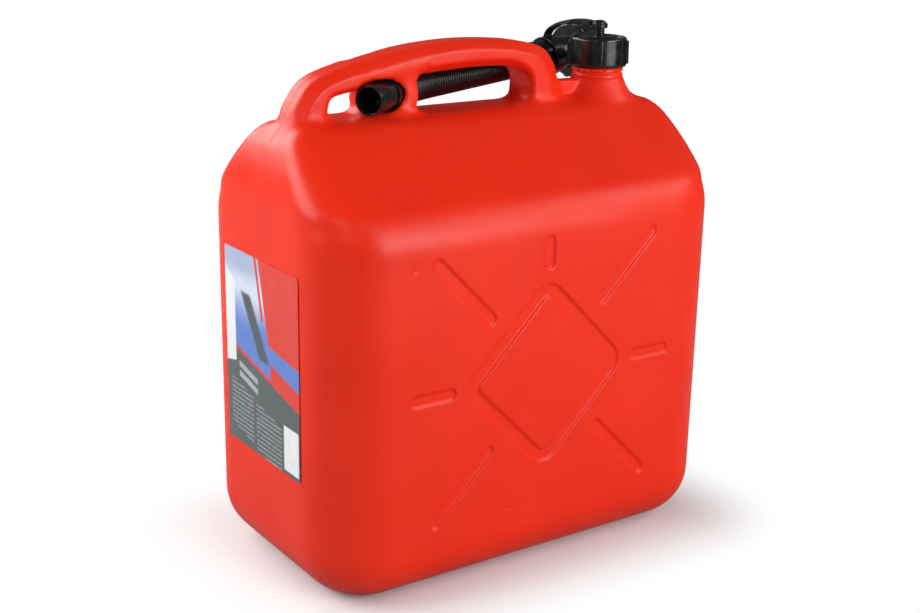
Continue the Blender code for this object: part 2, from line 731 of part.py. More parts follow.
def make_cap(parts, cutters, black, rubber):
    """The screw cap with its lugs and stud, and its gasket, on the neck's axis."""
    axis = bpy.data.objects.new("cap axis", None)
    parts.objects.link(axis)
    axis.location.x = NECK_X
    cap = turned(cap_profile(), "cap_shell", parts, black)
    forms = collection_named("cap forms", cutters)
    lugs = lug_ring(
        LUG_COUNT, (CAP_BORE + CAP_RADIUS) / 2, CAP_REACH, LUG_WIDTH, CAP_FOOT + SEAT_GAP,
        CAP_TOP - LUG_TOP_DROP, LUG_TURN_DEGREES, "cap lugs", forms,
    )
    gasket_low = NECK_TOP + SEAT_GAP
    gasket_high = gasket_low + CAP_GASKET_THICKNESS
    gasket = turned(
        ring_profile(CAP_BORE - CAP_GASKET_WIDTH, CAP_BORE - SEAT_GAP, gasket_low, gasket_high),
        "cap_gasket", parts, rubber,
    )
    for piece in (cap, lugs, gasket):
        piece.parent = axis
    boolean(cap, forms, "UNION")
    smooth(cap)


def strap_band(collection):
    """The strap's flat band: a ribbon that arches from the loop on the sleeve to the eye on the stud."""
    loop_top = LOOP_CENTRE + LOOP_UP * (SLEEVE_RADIUS + SEAT_GAP + STRAP_THICKNESS / 2)
    eye_edge = Vector((NECK_X, 0, EYE_FOOT + STRAP_THICKNESS / 2))
    flat = Vector((eye_edge.x - loop_top.x, eye_edge.y - loop_top.y, 0)).normalized()
    eye_edge -= flat * (STRAP_EYE_RADIUS + STUD_STEM_RADIUS) / 2
    climb = Vector((0, 0, eye_edge.z - loop_top.z))
    handles = (
        loop_top,
        loop_top + climb * STRAP_RISE_SHARE,
        eye_edge - flat * (eye_edge - loop_top).xy.length / 2 + Vector((0, 0, STRAP_ARCH)),
        eye_edge,
    )
    bm = bmesh.new()
    rows = []
    for k in range(STRAP_STEPS + 1):
        t = k / STRAP_STEPS
        weights = ((1 - t) ** 3, 3 * t * (1 - t) ** 2, 3 * t * t * (1 - t), t ** 3)
        centre = sum((h * w for h, w in zip(handles, weights)), Vector())
        across = HOSE_LINE.lerp(Vector((-flat.y, flat.x, 0)), t).normalized()
        half = across * STRAP_WIDTH / 2
        rows.append((bm.verts.new(centre - half), bm.verts.new(centre + half)))
    for (a, b), (c, d) in zip(rows, rows[1:]):
        bm.faces.new((a, b, d, c))
    band = as_cutter(object_from(bm, "strap band", collection))
    wall = band.modifiers.new("thickness", "SOLIDIFY")
    wall.thickness = STRAP_BAND_THICKNESS
    wall.offset = 0
    return band


def make_strap(parts, cutters, black):
    """The tether: an eye round the cap's stud, a band, and a loop round the spout's sleeve."""
    eye_bore = STUD_STEM_RADIUS + STRAP_EYE_CLEARANCE
    eye_top = EYE_FOOT + STRAP_THICKNESS
    loop_bore = SLEEVE_RADIUS + SEAT_GAP
    strap = turned(
        ring_profile(eye_bore, STRAP_EYE_RADIUS, EYE_FOOT, eye_top), "cap_strap", parts, black,
    )
    strap.location.x = NECK_X
    forms = collection_named("strap forms", cutters)
    loop = as_cutter(turned(
        ring_profile(loop_bore, loop_bore + STRAP_THICKNESS, -STRAP_WIDTH / 2, STRAP_WIDTH / 2),
        "strap loop", forms,
    ))
    loop.matrix_world = aimed(LOOP_CENTRE, HOSE_LINE)
    strap_band(forms)
    boolean(strap, forms, "UNION")
    smooth(strap)
    return strap


# Spout

def hose_path():
    """Points of the hose's centre line, half a rib's pitch apart, each with its run and the whole length."""
    turn = NOZZLE_LINE.angle(HOSE_LINE)
    cut = HOSE_BEND_RADIUS * math.tan(turn / 2)
    start = NOZZLE_TIP + NOZZLE_LINE * (NOZZLE_LENGTH - NOZZLE_OVERLAP)
    arc_start = BEND - NOZZLE_LINE * cut
    arc_end = BEND + HOSE_LINE * cut
    end = NUT_CENTRE - HOSE_LINE * (NUT_LENGTH / 2 + SLEEVE_LENGTH - SLEEVE_GRIP)
    normal = (BEND - arc_start).cross(arc_end - BEND).normalized()
    centre = arc_start + normal.cross(NOZZLE_LINE) * HOSE_BEND_RADIUS
    first = (arc_start - start).length
    arc = HOSE_BEND_RADIUS * turn
    last = (end - arc_end).length
    total = first + arc + last
    steps = 2 * round(total / HOSE_RIB_PITCH)
    out = []
    for k in range(steps + 1):
        run = total * k / steps
        if run <= first:
            point = start + NOZZLE_LINE * run
        elif run <= first + arc:
            spin = Matrix.Rotation((run - first) / HOSE_BEND_RADIUS, 3, normal)
            point = centre + spin @ (arc_start - centre)
        else:
            point = arc_end + HOSE_LINE * (run - first - arc)
        out.append((point, run, total))
    return out


def make_hose(parts, cutters, black):
    """The ribbed hose with plain cuffs at its ends, and its bore."""
    path = hose_path()
    first, last = path[0][0], path[-1][0]
    points = [first]
    radii = [HOSE_RADIUS]
    for k, (point, run, total) in enumerate(path):
        if NOZZLE_OVERLAP + HOSE_RIB_PITCH < run < total - HOSE_CUFF_LENGTH:
            if len(points) == 1:
                points.append(path[k - 1][0])
                radii.append(HOSE_RADIUS)
            points.append(point)
            radii.append(HOSE_RADIUS if k % 2 else HOSE_RADIUS - HOSE_RIB_DEPTH)
    collar = SLEEVE_RADIUS - SLEEVE_WALL - SEAT_GAP
    for run, radius in (
        (HOSE_CUFF_LENGTH, HOSE_RADIUS), (SLEEVE_GRIP - SEAT_GAP, HOSE_RADIUS),
        (SLEEVE_GRIP - 2 * SEAT_GAP, collar), (0, collar),
    ):
        points.append(last - HOSE_LINE * run)
        radii.append(radius)
    hose = tube_mesh(points, radii, "spout_hose", parts, HOSE_TUBE_RESOLUTION)
    hose.data.materials.append(black)
    bore_points = [first - NOZZLE_LINE * CUT_OVERRUN]
    bore_points += [point for point, run, total in path[1:-1:BORE_POINT_STRIDE]]
    bore_points += [last + HOSE_LINE * CUT_OVERRUN]
    inner = HOSE_RADIUS - HOSE_RIB_DEPTH - HOSE_WALL
    hollows = collection_named("hose hollows", cutters)
    inners = [inner] * len(bore_points)
    as_cutter(tube_mesh(bore_points, inners, "hose bore", hollows, HOSE_TUBE_RESOLUTION))
    socket = as_cutter(turned(
        rod_profile(NOZZLE_RADIUS + SEAT_GAP, -CUT_OVERRUN, NOZZLE_OVERLAP + SEAT_GAP),
        "hose socket", hollows,
    ))
    socket.matrix_world = aimed(first, NOZZLE_LINE)
    boolean(hose, hollows, "DIFFERENCE")
    smooth(hose, HOSE_SHARP_DEGREES)
    return hose


def make_spout(parts, cutters, black, rubber):
    """The pouring spout: nozzle, hose, sleeve with its flange, union nut and gasket."""
    nozzle_axis = bpy.data.objects.new("nozzle axis", None)
    parts.objects.link(nozzle_axis)
    nozzle_axis.matrix_world = aimed(NOZZLE_TIP, NOZZLE_LINE)
    bore = NOZZLE_RADIUS - NOZZLE_WALL
    nozzle_profile = (
        (bore, NOZZLE_LENGTH),
        (NOZZLE_RADIUS, NOZZLE_LENGTH),
        (NOZZLE_RADIUS, NOZZLE_LIP),
        (NOZZLE_RADIUS - NOZZLE_LIP, 0),
        (bore, 0),
        (bore, NOZZLE_LENGTH),
    )
    nozzle = turned(nozzle_profile, "spout_nozzle", parts, black)
    nozzle.parent = nozzle_axis
    smooth(nozzle)
    make_hose(parts, cutters, black)

    nut_axis = bpy.data.objects.new("nut axis", None)
    parts.objects.link(nut_axis)
    nut_axis.matrix_world = aimed(NUT_CENTRE, HOSE_LINE)
    back = -NUT_LENGTH / 2
    flange_low = back + NUT_LIP + SEAT_GAP
    flange_high = flange_low + SLEEVE_FLANGE_THICKNESS
    sleeve_bore = SLEEVE_RADIUS - SLEEVE_WALL
    flange_radius = NUT_BORE - SEAT_GAP
    sleeve_end = back - SLEEVE_LENGTH
    sleeve_profile = (
        (sleeve_bore, flange_high),
        (flange_radius, flange_high),
        (flange_radius, flange_low),
        (SLEEVE_RADIUS, flange_low),
        (SLEEVE_RADIUS, sleeve_end + SLEEVE_FILLET),
        (SLEEVE_RADIUS - SLEEVE_FILLET / 2, sleeve_end),
        (sleeve_bore, sleeve_end),
        (sleeve_bore, flange_high),
    )
    sleeve = turned(sleeve_profile, "spout_sleeve", parts, black)
    gasket_low = flange_high + SEAT_GAP
    gasket_high = gasket_low + SPOUT_GASKET_THICKNESS
    gasket = turned(
        ring_profile(flange_radius - SPOUT_GASKET_WIDTH, flange_radius, gasket_low, gasket_high),
        "spout_gasket", parts, rubber,
    )
    lip_bore = SLEEVE_RADIUS + SEAT_GAP
    nut_profile = (
        (lip_bore, back + NUT_LIP),
        (NUT_BORE, back + NUT_LIP),
        (NUT_BORE, -back),
        (NUT_RADIUS, -back),
        (NUT_RADIUS, back),
        (lip_bore, back),
        (lip_bore, back + NUT_LIP),
    )
    nut = turned(nut_profile, "spout_nut", parts, black)
    forms = collection_named("nut forms", cutters)
    lugs = lug_ring(
        NUT_LUG_COUNT, NUT_RADIUS - NUT_WALL / 2, NUT_REACH, NUT_LUG_WIDTH, back + SEAT_GAP,
        -back - SEAT_GAP, 0, "nut lugs", forms,
    )
    for piece in (sleeve, gasket, nut, lugs):
        piece.parent = nut_axis
    boolean(nut, forms, "UNION")
    for piece in (sleeve, nut):
        smooth(piece)


def main():
    """Build the fuel can."""
    clear_scene()
    parts = collection_named("fuel can")
    cutters = collection_named("cutters")
    red = material_named("red polyethylene", RED, RED_ROUGHNESS)
    black = material_named("black plastic", BLACK, BLACK_ROUGHNESS)
    rubber = material_named("black rubber", RUBBER, RUBBER_ROUGHNESS)
    paper = material_named("label film", PAPER, PAPER_ROUGHNESS)
    make_body(parts, cutters, red)
    make_label(parts, paper)
    make_cap(parts, cutters, black, rubber)
    make_strap(parts, cutters, black)
    make_spout(parts, cutters, black, rubber)


main()
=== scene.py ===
"""Looks of the plastic fuel can: moulded red body, tethered screw cap, stored pouring spout and label film.

Every length is in metres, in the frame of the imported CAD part.
"""

import json
import logging
import math
from collections.abc import Callable, Sequence
from dataclasses import dataclass, field
from enum import Enum
from functools import reduce

import bmesh
import bpy
import numpy as np
from bmesh.types import BMesh
from bpy.types import Material, Mesh, Node, NodeSocket, NodeTree, Object
from mathutils import Matrix, Vector
from mathutils.bvhtree import BVHTree
from mathutils.kdtree import KDTree

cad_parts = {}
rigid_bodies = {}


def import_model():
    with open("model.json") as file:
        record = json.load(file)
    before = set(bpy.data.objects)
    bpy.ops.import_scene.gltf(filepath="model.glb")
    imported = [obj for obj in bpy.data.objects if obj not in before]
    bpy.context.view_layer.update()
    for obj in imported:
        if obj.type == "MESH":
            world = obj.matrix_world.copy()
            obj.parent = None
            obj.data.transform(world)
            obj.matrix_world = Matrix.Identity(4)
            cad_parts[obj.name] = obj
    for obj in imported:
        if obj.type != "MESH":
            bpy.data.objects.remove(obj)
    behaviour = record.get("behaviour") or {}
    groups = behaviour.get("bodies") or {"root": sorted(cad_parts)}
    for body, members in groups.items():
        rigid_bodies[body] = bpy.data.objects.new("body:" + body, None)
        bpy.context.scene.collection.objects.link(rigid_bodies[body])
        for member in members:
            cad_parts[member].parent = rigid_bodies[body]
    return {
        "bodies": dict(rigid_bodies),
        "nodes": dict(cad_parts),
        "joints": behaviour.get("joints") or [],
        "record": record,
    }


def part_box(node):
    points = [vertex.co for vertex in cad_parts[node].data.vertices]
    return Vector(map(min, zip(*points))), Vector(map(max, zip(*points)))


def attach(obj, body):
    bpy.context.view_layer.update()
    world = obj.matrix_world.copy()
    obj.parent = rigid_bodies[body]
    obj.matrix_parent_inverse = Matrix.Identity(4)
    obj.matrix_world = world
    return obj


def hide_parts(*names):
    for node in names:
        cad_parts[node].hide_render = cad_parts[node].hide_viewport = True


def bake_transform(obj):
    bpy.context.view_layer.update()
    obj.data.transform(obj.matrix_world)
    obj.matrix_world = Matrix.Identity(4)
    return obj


logging.basicConfig(level=logging.INFO, format="%(message)s")
LOG = logging.getLogger("fuel_can")

# Distance at which vertices merge, tolerance of a level or a radius, and run of a rib's flank
MERGE = 0.000001
NEAR = 0.0001
RIB_FLANK = 0.0009
UP = Vector((0, 0, 1))
WHITE = (1.0, 1.0, 1.0, 1.0)
Triple = tuple[float, float, float]
Pair = tuple[float, float]
Flat = Sequence[Pair]
Value = NodeSocket | float | Triple


class Body(Enum):
    """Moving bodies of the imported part."""

    CAN = "can"
    SEAL = "seal"
    CAP = "cap"
    SPOUT = "spout"
    NUT = "nut"


class Slot(Enum):
    """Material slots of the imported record."""

    CAN = "can"
    FITTINGS = "fittings"
    SEAL = "seal"
    LABEL = "label"


Paint = dict[Slot, Material]


@dataclass(frozen=True)
class CanSizes:
    """Sizes of the moulded body, its handle and its neck."""

    length: float = 0.354
    width: float = 0.210
    height: float = 0.337
    plan_corner: float = 0.050
    crest_corner: float = 0.006
    base_fillet: float = 0.040
    fold_height: float = 0.278
    fold_fillet: float = 0.037
    crest_width: float = 0.049
    crest_fillet: float = 0.045
    end_fold_height: float = 0.302
    end_fold_fillet: float = 0.110
    end_inset: float = 0.0145
    end_crown_fillet: float = 0.026
    panel_margin: float = 0.052
    panel_depth: float = 0.0015
    handle_left: float = -0.160
    handle_length: float = 0.257
    handle_rise: float = 0.050
    handle_width: float = 0.034
    handle_chamfer: float = 0.0075
    web_start: float = -0.0965
    web_end: float = -0.0545
    web_width: float = 0.031
    web_sink: float = 0.013
    web_rise: float = 0.036
    neck_x: float = 0.123
    neck_height: float = 0.0394
    neck_radius: float = 0.0190
    neck_bore: float = 0.0168
    neck_sink: float = 0.006
    neck_soft: float = 0.0006
    mouth_foot: float = 0.270
    bead_radius: float = 0.0203
    bead_height: float = 0.0021
    bead_pitch: float = 0.0046
    bead_soft: float = 0.0004
    cone_radius: float = 0.0285
    cone_height: float = 0.0145
    cone_flare: float = 0.28
    cone_inset: float = 0.0003
    gusset_start: float = 0.066
    gusset_width: float = 0.0104
    gusset_sink: float = 0.004
    gusset_rise: float = 0.0139
    bore_radius: float = 0.0126
    cut_past: float = 0.004

    @property
    def neck_top(self) -> float:
        """Height of the neck's mouth."""
        return self.height + self.neck_height

    @property
    def neck_foot(self) -> float:
        """Height of the cone's top, where the neck's beads start."""
        return self.height + self.cone_height


@dataclass(frozen=True)
class PatternSizes:
    """Sizes of the grooves on the two broad faces, and the vent marks beside them."""

    level: float = 0.155
    reach: float = 0.0680
    corner: float = 0.0100
    diamond_half: float = 0.0045
    bar_half: float = 0.0041
    wall: float = 0.0012
    depth: float = 0.0015
    short_start: float = 0.0795
    short_length: float = 0.0385
    upright_length: float = 0.0245
    diagonal_start: float = 0.0670
    diagonal_length: float = 0.0725
    vent_radius: float = 0.0016
    vent_depth: float = 0.0005
    vent_spread: float = 1.5
    vents: Flat = ((-0.115, 0.249), (0.114, 0.253), (-0.032, 0.056), (0.117, 0.054), (-0.015, 0.099))


@dataclass(frozen=True)
class SpoutSizes:
    """Places and sizes of the stored spout."""

    tip: Triple = (-0.09997, -0.01966, 0.35040)
    bend: Triple = (-0.04300, 0.01594, 0.35216)
    nut: Triple = (0.14200, 0.05190, 0.36501)
    nozzle_radius: float = 0.01075
    nozzle_wall: float = 0.0015
    nozzle_length: float = 0.038
    nozzle_overlap: float = 0.012
    lip_share: float = 0.3
    hose_radius: float = 0.0120
    hose_sides: int = 56
    rib_depth: float = 0.0010
    rib_pitch: float = 0.0024
    rib_steps: int = 8
    cuff: float = 0.025
    bend_radius: float = 0.096
    sleeve_radius: float = 0.0133
    sleeve_wall: float = 0.0010
    sleeve_length: float = 0.068
    sleeve_grip: float = 0.013
    sleeve_end: Flat = ((0, 0.0016), (0.0004, 0.0007), (0.0010, 0))
    flange: float = 0.0020
    nut_length: float = 0.0160
    nut_bore: float = 0.0194
    nut_wall: float = 0.0020
    nut_lip: float = 0.0022
    nut_reach: float = 0.0226
    nut_ribs: int = 14
    nut_rib_width: float = 0.0040
    nut_rib_trim: float = 1.5
    gasket: float = 0.0018
    gasket_width: float = 0.0048
    loop_setback: float = 0.0348
    soft: float = 0.0005

    @property
    def nozzle_line(self) -> Vector:
        """Direction of the nozzle, from its mouth inwards."""
        return (Vector(self.bend) - Vector(self.tip)).normalized()

    @property
    def hose_line(self) -> Vector:
        """Direction of the hose's straight end, towards the nut."""
        return (Vector(self.nut) - Vector(self.bend)).normalized()


@dataclass(frozen=True)
class CapSizes:
    """Sizes of the screw cap, its stud and the strap."""

    x: float = 0.123
    top: float = 0.3810
    foot: float = 0.3598
    underside: float = 0.3788
    radius: float = 0.0222
    flare: float = 0.0003
    waist_drop: float = 0.011
    bore: float = 0.0194
    edge: float = 0.0018
    rim_width: float = 0.0026
    rim_depth: float = 0.0012
    rim_rise: float = 0.0012
    disc_radius: float = 0.0140
    crown_foot: float = 0.0184
    crown_height: float = 0.0019
    crown_edge: Flat = (
        (-0.0025, 0.0007), (-0.0012, 0.0002), (-0.0004, 0), (0.0003, 0.0003), (0.0008, 0.0009),
    )
    lugs: int = 5
    lug_reach: float = 0.0023
    lug_width: float = 0.0072
    lug_drop: float = 0.0008
    lug_foot: float = 0.0022
    lug_turn: float = 227.7
    lug_rise: float = 0.0003
    lug_edges: tuple[float, ...] = (0.0002, -0.0002, -0.0009)
    stem_radius: float = 0.0044
    stem_rings: int = 5
    ring_start: float = 0.0026
    ring_pitch: float = 0.0014
    ring_edges: Flat = ((0, 0), (0, 0.0006), (0.0004, 0.0009))
    head_radius: float = 0.0054
    head_foot: float = 0.3913
    head_height: float = 0.0036
    dome_share: float = 0.6
    soft: float = 0.0004
    fine: float = 0.0002
    foot_edge: float = 0.0005
    seat_past: float = 0.001
    gasket_width: float = 0.0045
    strap: float = 0.0022
    band: float = 0.0017
    strap_width: float = 0.0105
    eye_radius: float = 0.0066
    arch: float = 0.0036
    rise_share: float = 0.72
    narrowing: float = 0.14
    thickening: float = 0.0020
    collar: float = 0.0014
    gap: float = 0.0003


CAN = CanSizes()
PATTERN = PatternSizes()
SPOUT = SpoutSizes()
CAP = CapSizes()

# Rows of the handle from its foot at the label's end, over the grip, to its foot at the neck. Each has a
# point of the outer line and one of the inner line, in shares of the handle's length and rise. Then come the
# outer chamfer and the flat band beside it, in shares of the chamfer and the half width, and the same two on
# the inner side.
HANDLE_SHARES = (
    (0.000, -0.255, 0.150, -0.255, 1.00, 0.55, 0.80, 0.60),
    (0.010, 0.020, 0.130, 0.050, 1.00, 0.55, 0.80, 0.60),
    (0.039, 0.310, 0.131, 0.225, 1.00, 0.55, 0.80, 0.60),
    (0.079, 0.540, 0.148, 0.325, 1.00, 0.55, 0.80, 0.60),
    (0.150, 0.692, 0.215, 0.385, 1.00, 0.55, 0.80, 0.60),
    (0.282, 0.848, 0.315, 0.455, 1.00, 0.55, 0.80, 0.60),
    (0.415, 0.953, 0.435, 0.545, 0.90, 0.55, 0.80, 0.60),
    (0.565, 1.000, 0.577, 0.597, 0.80, 0.55, 0.80, 0.60),
    (0.703, 0.972, 0.695, 0.592, 0.90, 0.55, 0.80, 0.60),
    (0.797, 0.912, 0.757, 0.549, 1.20, 0.50, 0.60, 0.65),
    (0.866, 0.800, 0.793, 0.451, 1.60, 0.44, 0.40, 0.75),
    (0.909, 0.570, 0.805, 0.294, 1.90, 0.38, 0.35, 0.80),
    (0.933, 0.290, 0.801, 0.098, 2.00, 0.35, 0.35, 0.80),
    (0.955, -0.010, 0.780, -0.059, 2.00, 0.35, 0.35, 0.80),
    (0.966, -0.255, 0.768, -0.255, 2.00, 0.35, 0.35, 0.80),
)


# Mesh helpers


def standing(x: float) -> Matrix:
    """Upright frame at a place along the can."""
    return Matrix.Translation((x, 0, 0))


def aimed(origin: Triple, direction: Vector) -> Matrix:
    """Frame at a place, with its Z axis along a direction."""
    return Matrix.Translation(origin) @ direction.to_track_quat("Z", "Y").to_matrix().to_4x4()


def eased(share: np.ndarray | float) -> np.ndarray | float:
    """Cut a share to 0 and 1, and ease it in and out."""
    share = np.clip(share, 0, 1)
    return share * share * (3 - 2 * share)


def places_of(mesh: Mesh) -> np.ndarray:
    """Read the places of a mesh's vertices.

    Args:
        mesh: The mesh.

    Returns:
        A row for each vertex.
    """
    places = np.empty(len(mesh.vertices) * 3)
    mesh.vertices.foreach_get("co", places)
    return places.reshape(-1, 3)


def tree_of(mesh: Mesh) -> BVHTree:
    """Search tree of a mesh's faces."""
    places = [vert.co.copy() for vert in mesh.vertices]
    return BVHTree.FromPolygons(places, [tuple(face.vertices) for face in mesh.polygons])


def evaluated_mesh(obj: Object) -> Mesh:
    """Copy an object's mesh with its modifiers applied."""
    bpy.context.view_layer.update()
    return bpy.data.meshes.new_from_object(obj.evaluated_get(bpy.context.evaluated_depsgraph_get()))


def mesh_object(bm: BMesh, name: str, smooth_angle: float = 35.0, place: Matrix | None = None) -> Object:
    """Turn a bmesh into a smooth-shaded object of the scene.

    Args:
        bm: The mesh, which is freed.
        name: Name of the piece.
        smooth_angle: Edges sharper than this many degrees stay sharp.
        place: Where the mesh goes, while the object stays at the origin.

    Returns:
        The new object.
    """
    bmesh.ops.recalc_face_normals(bm, faces=bm.faces)
    mesh = bpy.data.meshes.new(name)
    bm.to_mesh(mesh)
    bm.free()
    mesh.shade_smooth()
    mesh.set_sharp_from_angle(angle=math.radians(smooth_angle))
    if place is not None:
        mesh.transform(place)
    made = bpy.data.objects.new(name, mesh)
    bpy.context.scene.collection.objects.link(made)
    return made


def filleted(points: Flat, radii: Sequence[float], steps: int) -> list[Vector]:
    """Replace the corners of a flat line by arcs.

    Args:
        points: Corners of the line, which is closed unless its ends keep their corners.
        radii: Fillet radius of each corner, where zero keeps the corner.
        steps: Stretches in each arc.

    Returns:
        Points of the rounded line.
    """
    out = []
    for i, radius in enumerate(radii):
        here = Vector(points[i])
        if not radius:
            out.append(here)
            continue
        back, ahead = Vector(points[i - 1]) - here, Vector(points[(i + 1) % len(points)]) - here
        half = back.angle(ahead) / 2
        cut = min(radius / math.tan(half), 0.49 * back.length, 0.49 * ahead.length)
        back.normalize()
        ahead.normalize()
        start = here + back * cut
        centre = here + (back + ahead).normalized() * (cut * math.tan(half) / math.sin(half))
        turn = (start - centre).angle_signed(here + ahead * cut - centre)
        for k in range(steps + 1):
            arm = start - centre
            arm.rotate(Matrix.Rotation(-turn * k / steps, 2))
            out.append(centre + arm)
    return out


def quarter_arc(reach: float, drop: float, steps: int) -> list[Pair]:
    """Quarter of an oval from its crown outwards, as distances outwards and down."""
    turns = [math.pi / 2 * k / steps for k in range(steps + 1)]
    return [(reach * math.sin(turn), drop * (1 - math.cos(turn))) for turn in turns]


def box_mesh(low: Vector, high: Vector) -> BMesh:
    """Make a box between two corners.

    Args:
        low: Lowest corner.
        high: Highest corner.

    Returns:
        The box.
    """
    bm = bmesh.new()
    bmesh.ops.create_cube(bm, size=1)
    for vert in bm.verts:
        vert.co = Vector(a * b for a, b in zip(vert.co, high - low)) + (high + low) / 2
    return bm


def closed_skin(rings: Sequence[Sequence[Vector]]) -> BMesh:
    """Make a closed mesh through rings of equally many points.

    Args:
        rings: The rings, in order.

    Returns:
        The mesh, in quads between one many-sided face at each end.
    """
    bm = bmesh.new()
    rows = [[bm.verts.new(point) for point in ring] for ring in rings]
    for low, high in zip(rows, rows[1:]):
        for k in range(len(low)):
            after = (k + 1) % len(low)
            bm.faces.new((low[k], low[after], high[after], high[k]))
    bm.faces.new(rows[0])
    bm.faces.new(rows[-1])
    return bm


def loft(rings: Sequence[Sequence[Vector]], name: str) -> Object:
    """Make a body of triangles through rings.

    Args:
        rings: The rings, in order.
        name: Name of the object.

    Returns:
        The lofted object.
    """
    bm = closed_skin(rings)
    bmesh.ops.triangulate(bm, faces=[face for face in bm.faces if len(face.verts) == 4])
    return mesh_object(bm, name)


def swept(
    centres: Sequence[Vector], side: Callable[[int, Vector], Vector], sections: Sequence[Flat], name: str,
    smooth_angle: float,
) -> Object:
    """Sweep flat sections along a path.

    Args:
        centres: Points of the path.
        side: Gives the direction of a section's X axis, from its number and the path's direction.
        sections: The section at each point.
        name: Name of the object.
        smooth_angle: Edges sharper than this many degrees stay sharp.

    Returns:
        The swept body with closed ends.
    """
    rings, last = [], len(centres) - 1
    for k, (centre, section) in enumerate(zip(centres, sections)):
        along = (centres[min(k + 1, last)] - centres[max(k - 1, 0)]).normalized()
        across = side(k, along).normalized()
        frame = Matrix((across, along.cross(across), along)).transposed()
        rings.append([centre + frame @ Vector((x, y, 0)) for x, y in section])
    return mesh_object(closed_skin(rings), name, smooth_angle)


def turned(profile: Flat, steps: int) -> BMesh:
    """Turn a profile of (radius, height) round the Z axis.

    Args:
        profile: The profile, closed where its two ends are equal.
        steps: Faces round the axis.

    Returns:
        The turned mesh.
    """
    bm = bmesh.new()
    closed = profile[0] == profile[-1]
    verts = [bm.verts.new((radius, 0, height)) for radius, height in profile[closed:]]
    edges = [bm.edges.new(pair) for pair in zip(verts, verts[1:])]
    if closed:
        edges.append(bm.edges.new((verts[-1], verts[0])))
    bmesh.ops.spin(
        bm, geom=verts + edges, cent=(0, 0, 0), axis=(0, 0, 1), angle=2 * math.pi, steps=steps, use_merge=True
    )
    bmesh.ops.remove_doubles(bm, verts=bm.verts, dist=MERGE)
    return bm


def lathe(profile: Flat, name: str, steps: int, place: Matrix) -> Object:
    """Turn a profile of (radius, height) into an object at a place."""
    return mesh_object(turned(profile, steps), name, place=place)


def ring_profile(inner: float, outer: float, low: float, high: float) -> Flat:
    """Closed profile of a plain ring."""
    return (inner, high), (outer, high), (outer, low), (inner, low), (inner, high)


# Materials


class NodeGraph:
    """A material's node tree, with short calls to add and join nodes."""

    def __init__(self, name: str) -> None:
        """Start a material with only a Principled shader.

        Args:
            name: Name of the material.
        """
        self.material = bpy.data.materials.new(name)
        self.material.use_nodes = True
        self.tree = self.material.node_tree
        self.shader = self.tree.nodes["Principled BSDF"]
        self.place = self.node("TexCoord", {}).outputs["Object"]
        self.x, self.y, self.z = self.node("SeparateXYZ", {0: self.place}).outputs

    def node(self, kind: str, inputs: dict[int | str, Value], **options: str) -> Node:
        """Add a node.

        Args:
            kind: Its type, without the word that they all start with.
            inputs: What goes into it, by the input's name or number.
            options: Its options.

        Returns:
            The node.
        """
        node = self.tree.nodes.new("ShaderNode" + kind)
        for name, value in options.items():
            setattr(node, name, value)
        self.feed(node, inputs)
        return node

    def feed(self, node: Node, inputs: dict[int | str, Value]) -> None:
        """Link sockets to a node's inputs, or set constants.

        Args:
            node: The node.
            inputs: Sockets and constants, by the input's name or number.
        """
        for key, value in inputs.items():
            if isinstance(value, NodeSocket):
                self.tree.links.new(value, node.inputs[key])
            else:
                node.inputs[key].default_value = value

    def math(self, operation: str, first: Value, second: Value = 0.0) -> NodeSocket:
        """Work on one or two numbers."""
        return self.node("Math", {0: first, 1: second}, operation=operation).outputs[0]

    def product(self, *factors: Value) -> NodeSocket:
        """Multiply numbers."""
        return reduce(lambda first, second: self.math("MULTIPLY", first, second), factors)

    def leaning(self, first: Value, share: float, second: Value) -> NodeSocket:
        """Add a share of a second coordinate to the first, so that what the first bounds leans."""
        return self.math("ADD", first, self.math("MULTIPLY", second, share))

    def noise(self, scale: float, detail: float = 2.0, roughness: float = 0.5) -> NodeSocket:
        """Noise in object space, by features to the metre, octaves and the weight of the fine ones."""
        inputs = {"Vector": self.place, "Scale": scale, "Detail": detail, "Roughness": roughness}
        return self.node("TexNoise", inputs).outputs["Fac"]

    def between(
        self, value: Value, low: float, high: float, start: float = 0.0, end: float = 1.0
    ) -> NodeSocket:
        """Map a value smoothly from one range to another."""
        inputs = {"Value": value, "From Min": low, "From Max": high, "To Min": start, "To Max": end}
        return self.node("MapRange", inputs, interpolation_type="SMOOTHSTEP").outputs[0]

    def stripe(self, value: Value, low: float, high: float, soft: float = 0.004) -> NodeSocket:
        """Mask the stretch of a coordinate between two values, with edges blurred by so much on each side."""
        start = self.between(value, low - soft, low + soft)
        return self.math("MULTIPLY", start, self.between(value, high - soft, high + soft, 1.0, 0.0))

    def mix(self, share: Value, first: Value, second: Value) -> NodeSocket:
        """Mix a share of a second colour into the first."""
        ends = [value if isinstance(value, NodeSocket) else (*value, 1.0) for value in (first, second)]
        return self.node("Mix", {0: share, 6: ends[0], 7: ends[1]}, data_type="RGBA").outputs[2]

    def bump(self, *layers: tuple[Value, float]) -> None:
        """Chain bump layers into the shader's normal.

        Args:
            layers: Height and depth in metres of each.
        """
        normal = {}
        for height, depth in layers:
            node = self.node("Bump", {"Strength": 1.0, "Distance": depth, "Height": height, **normal})
            normal = {"Normal": node.outputs[0]}
        self.feed(self.shader, normal)


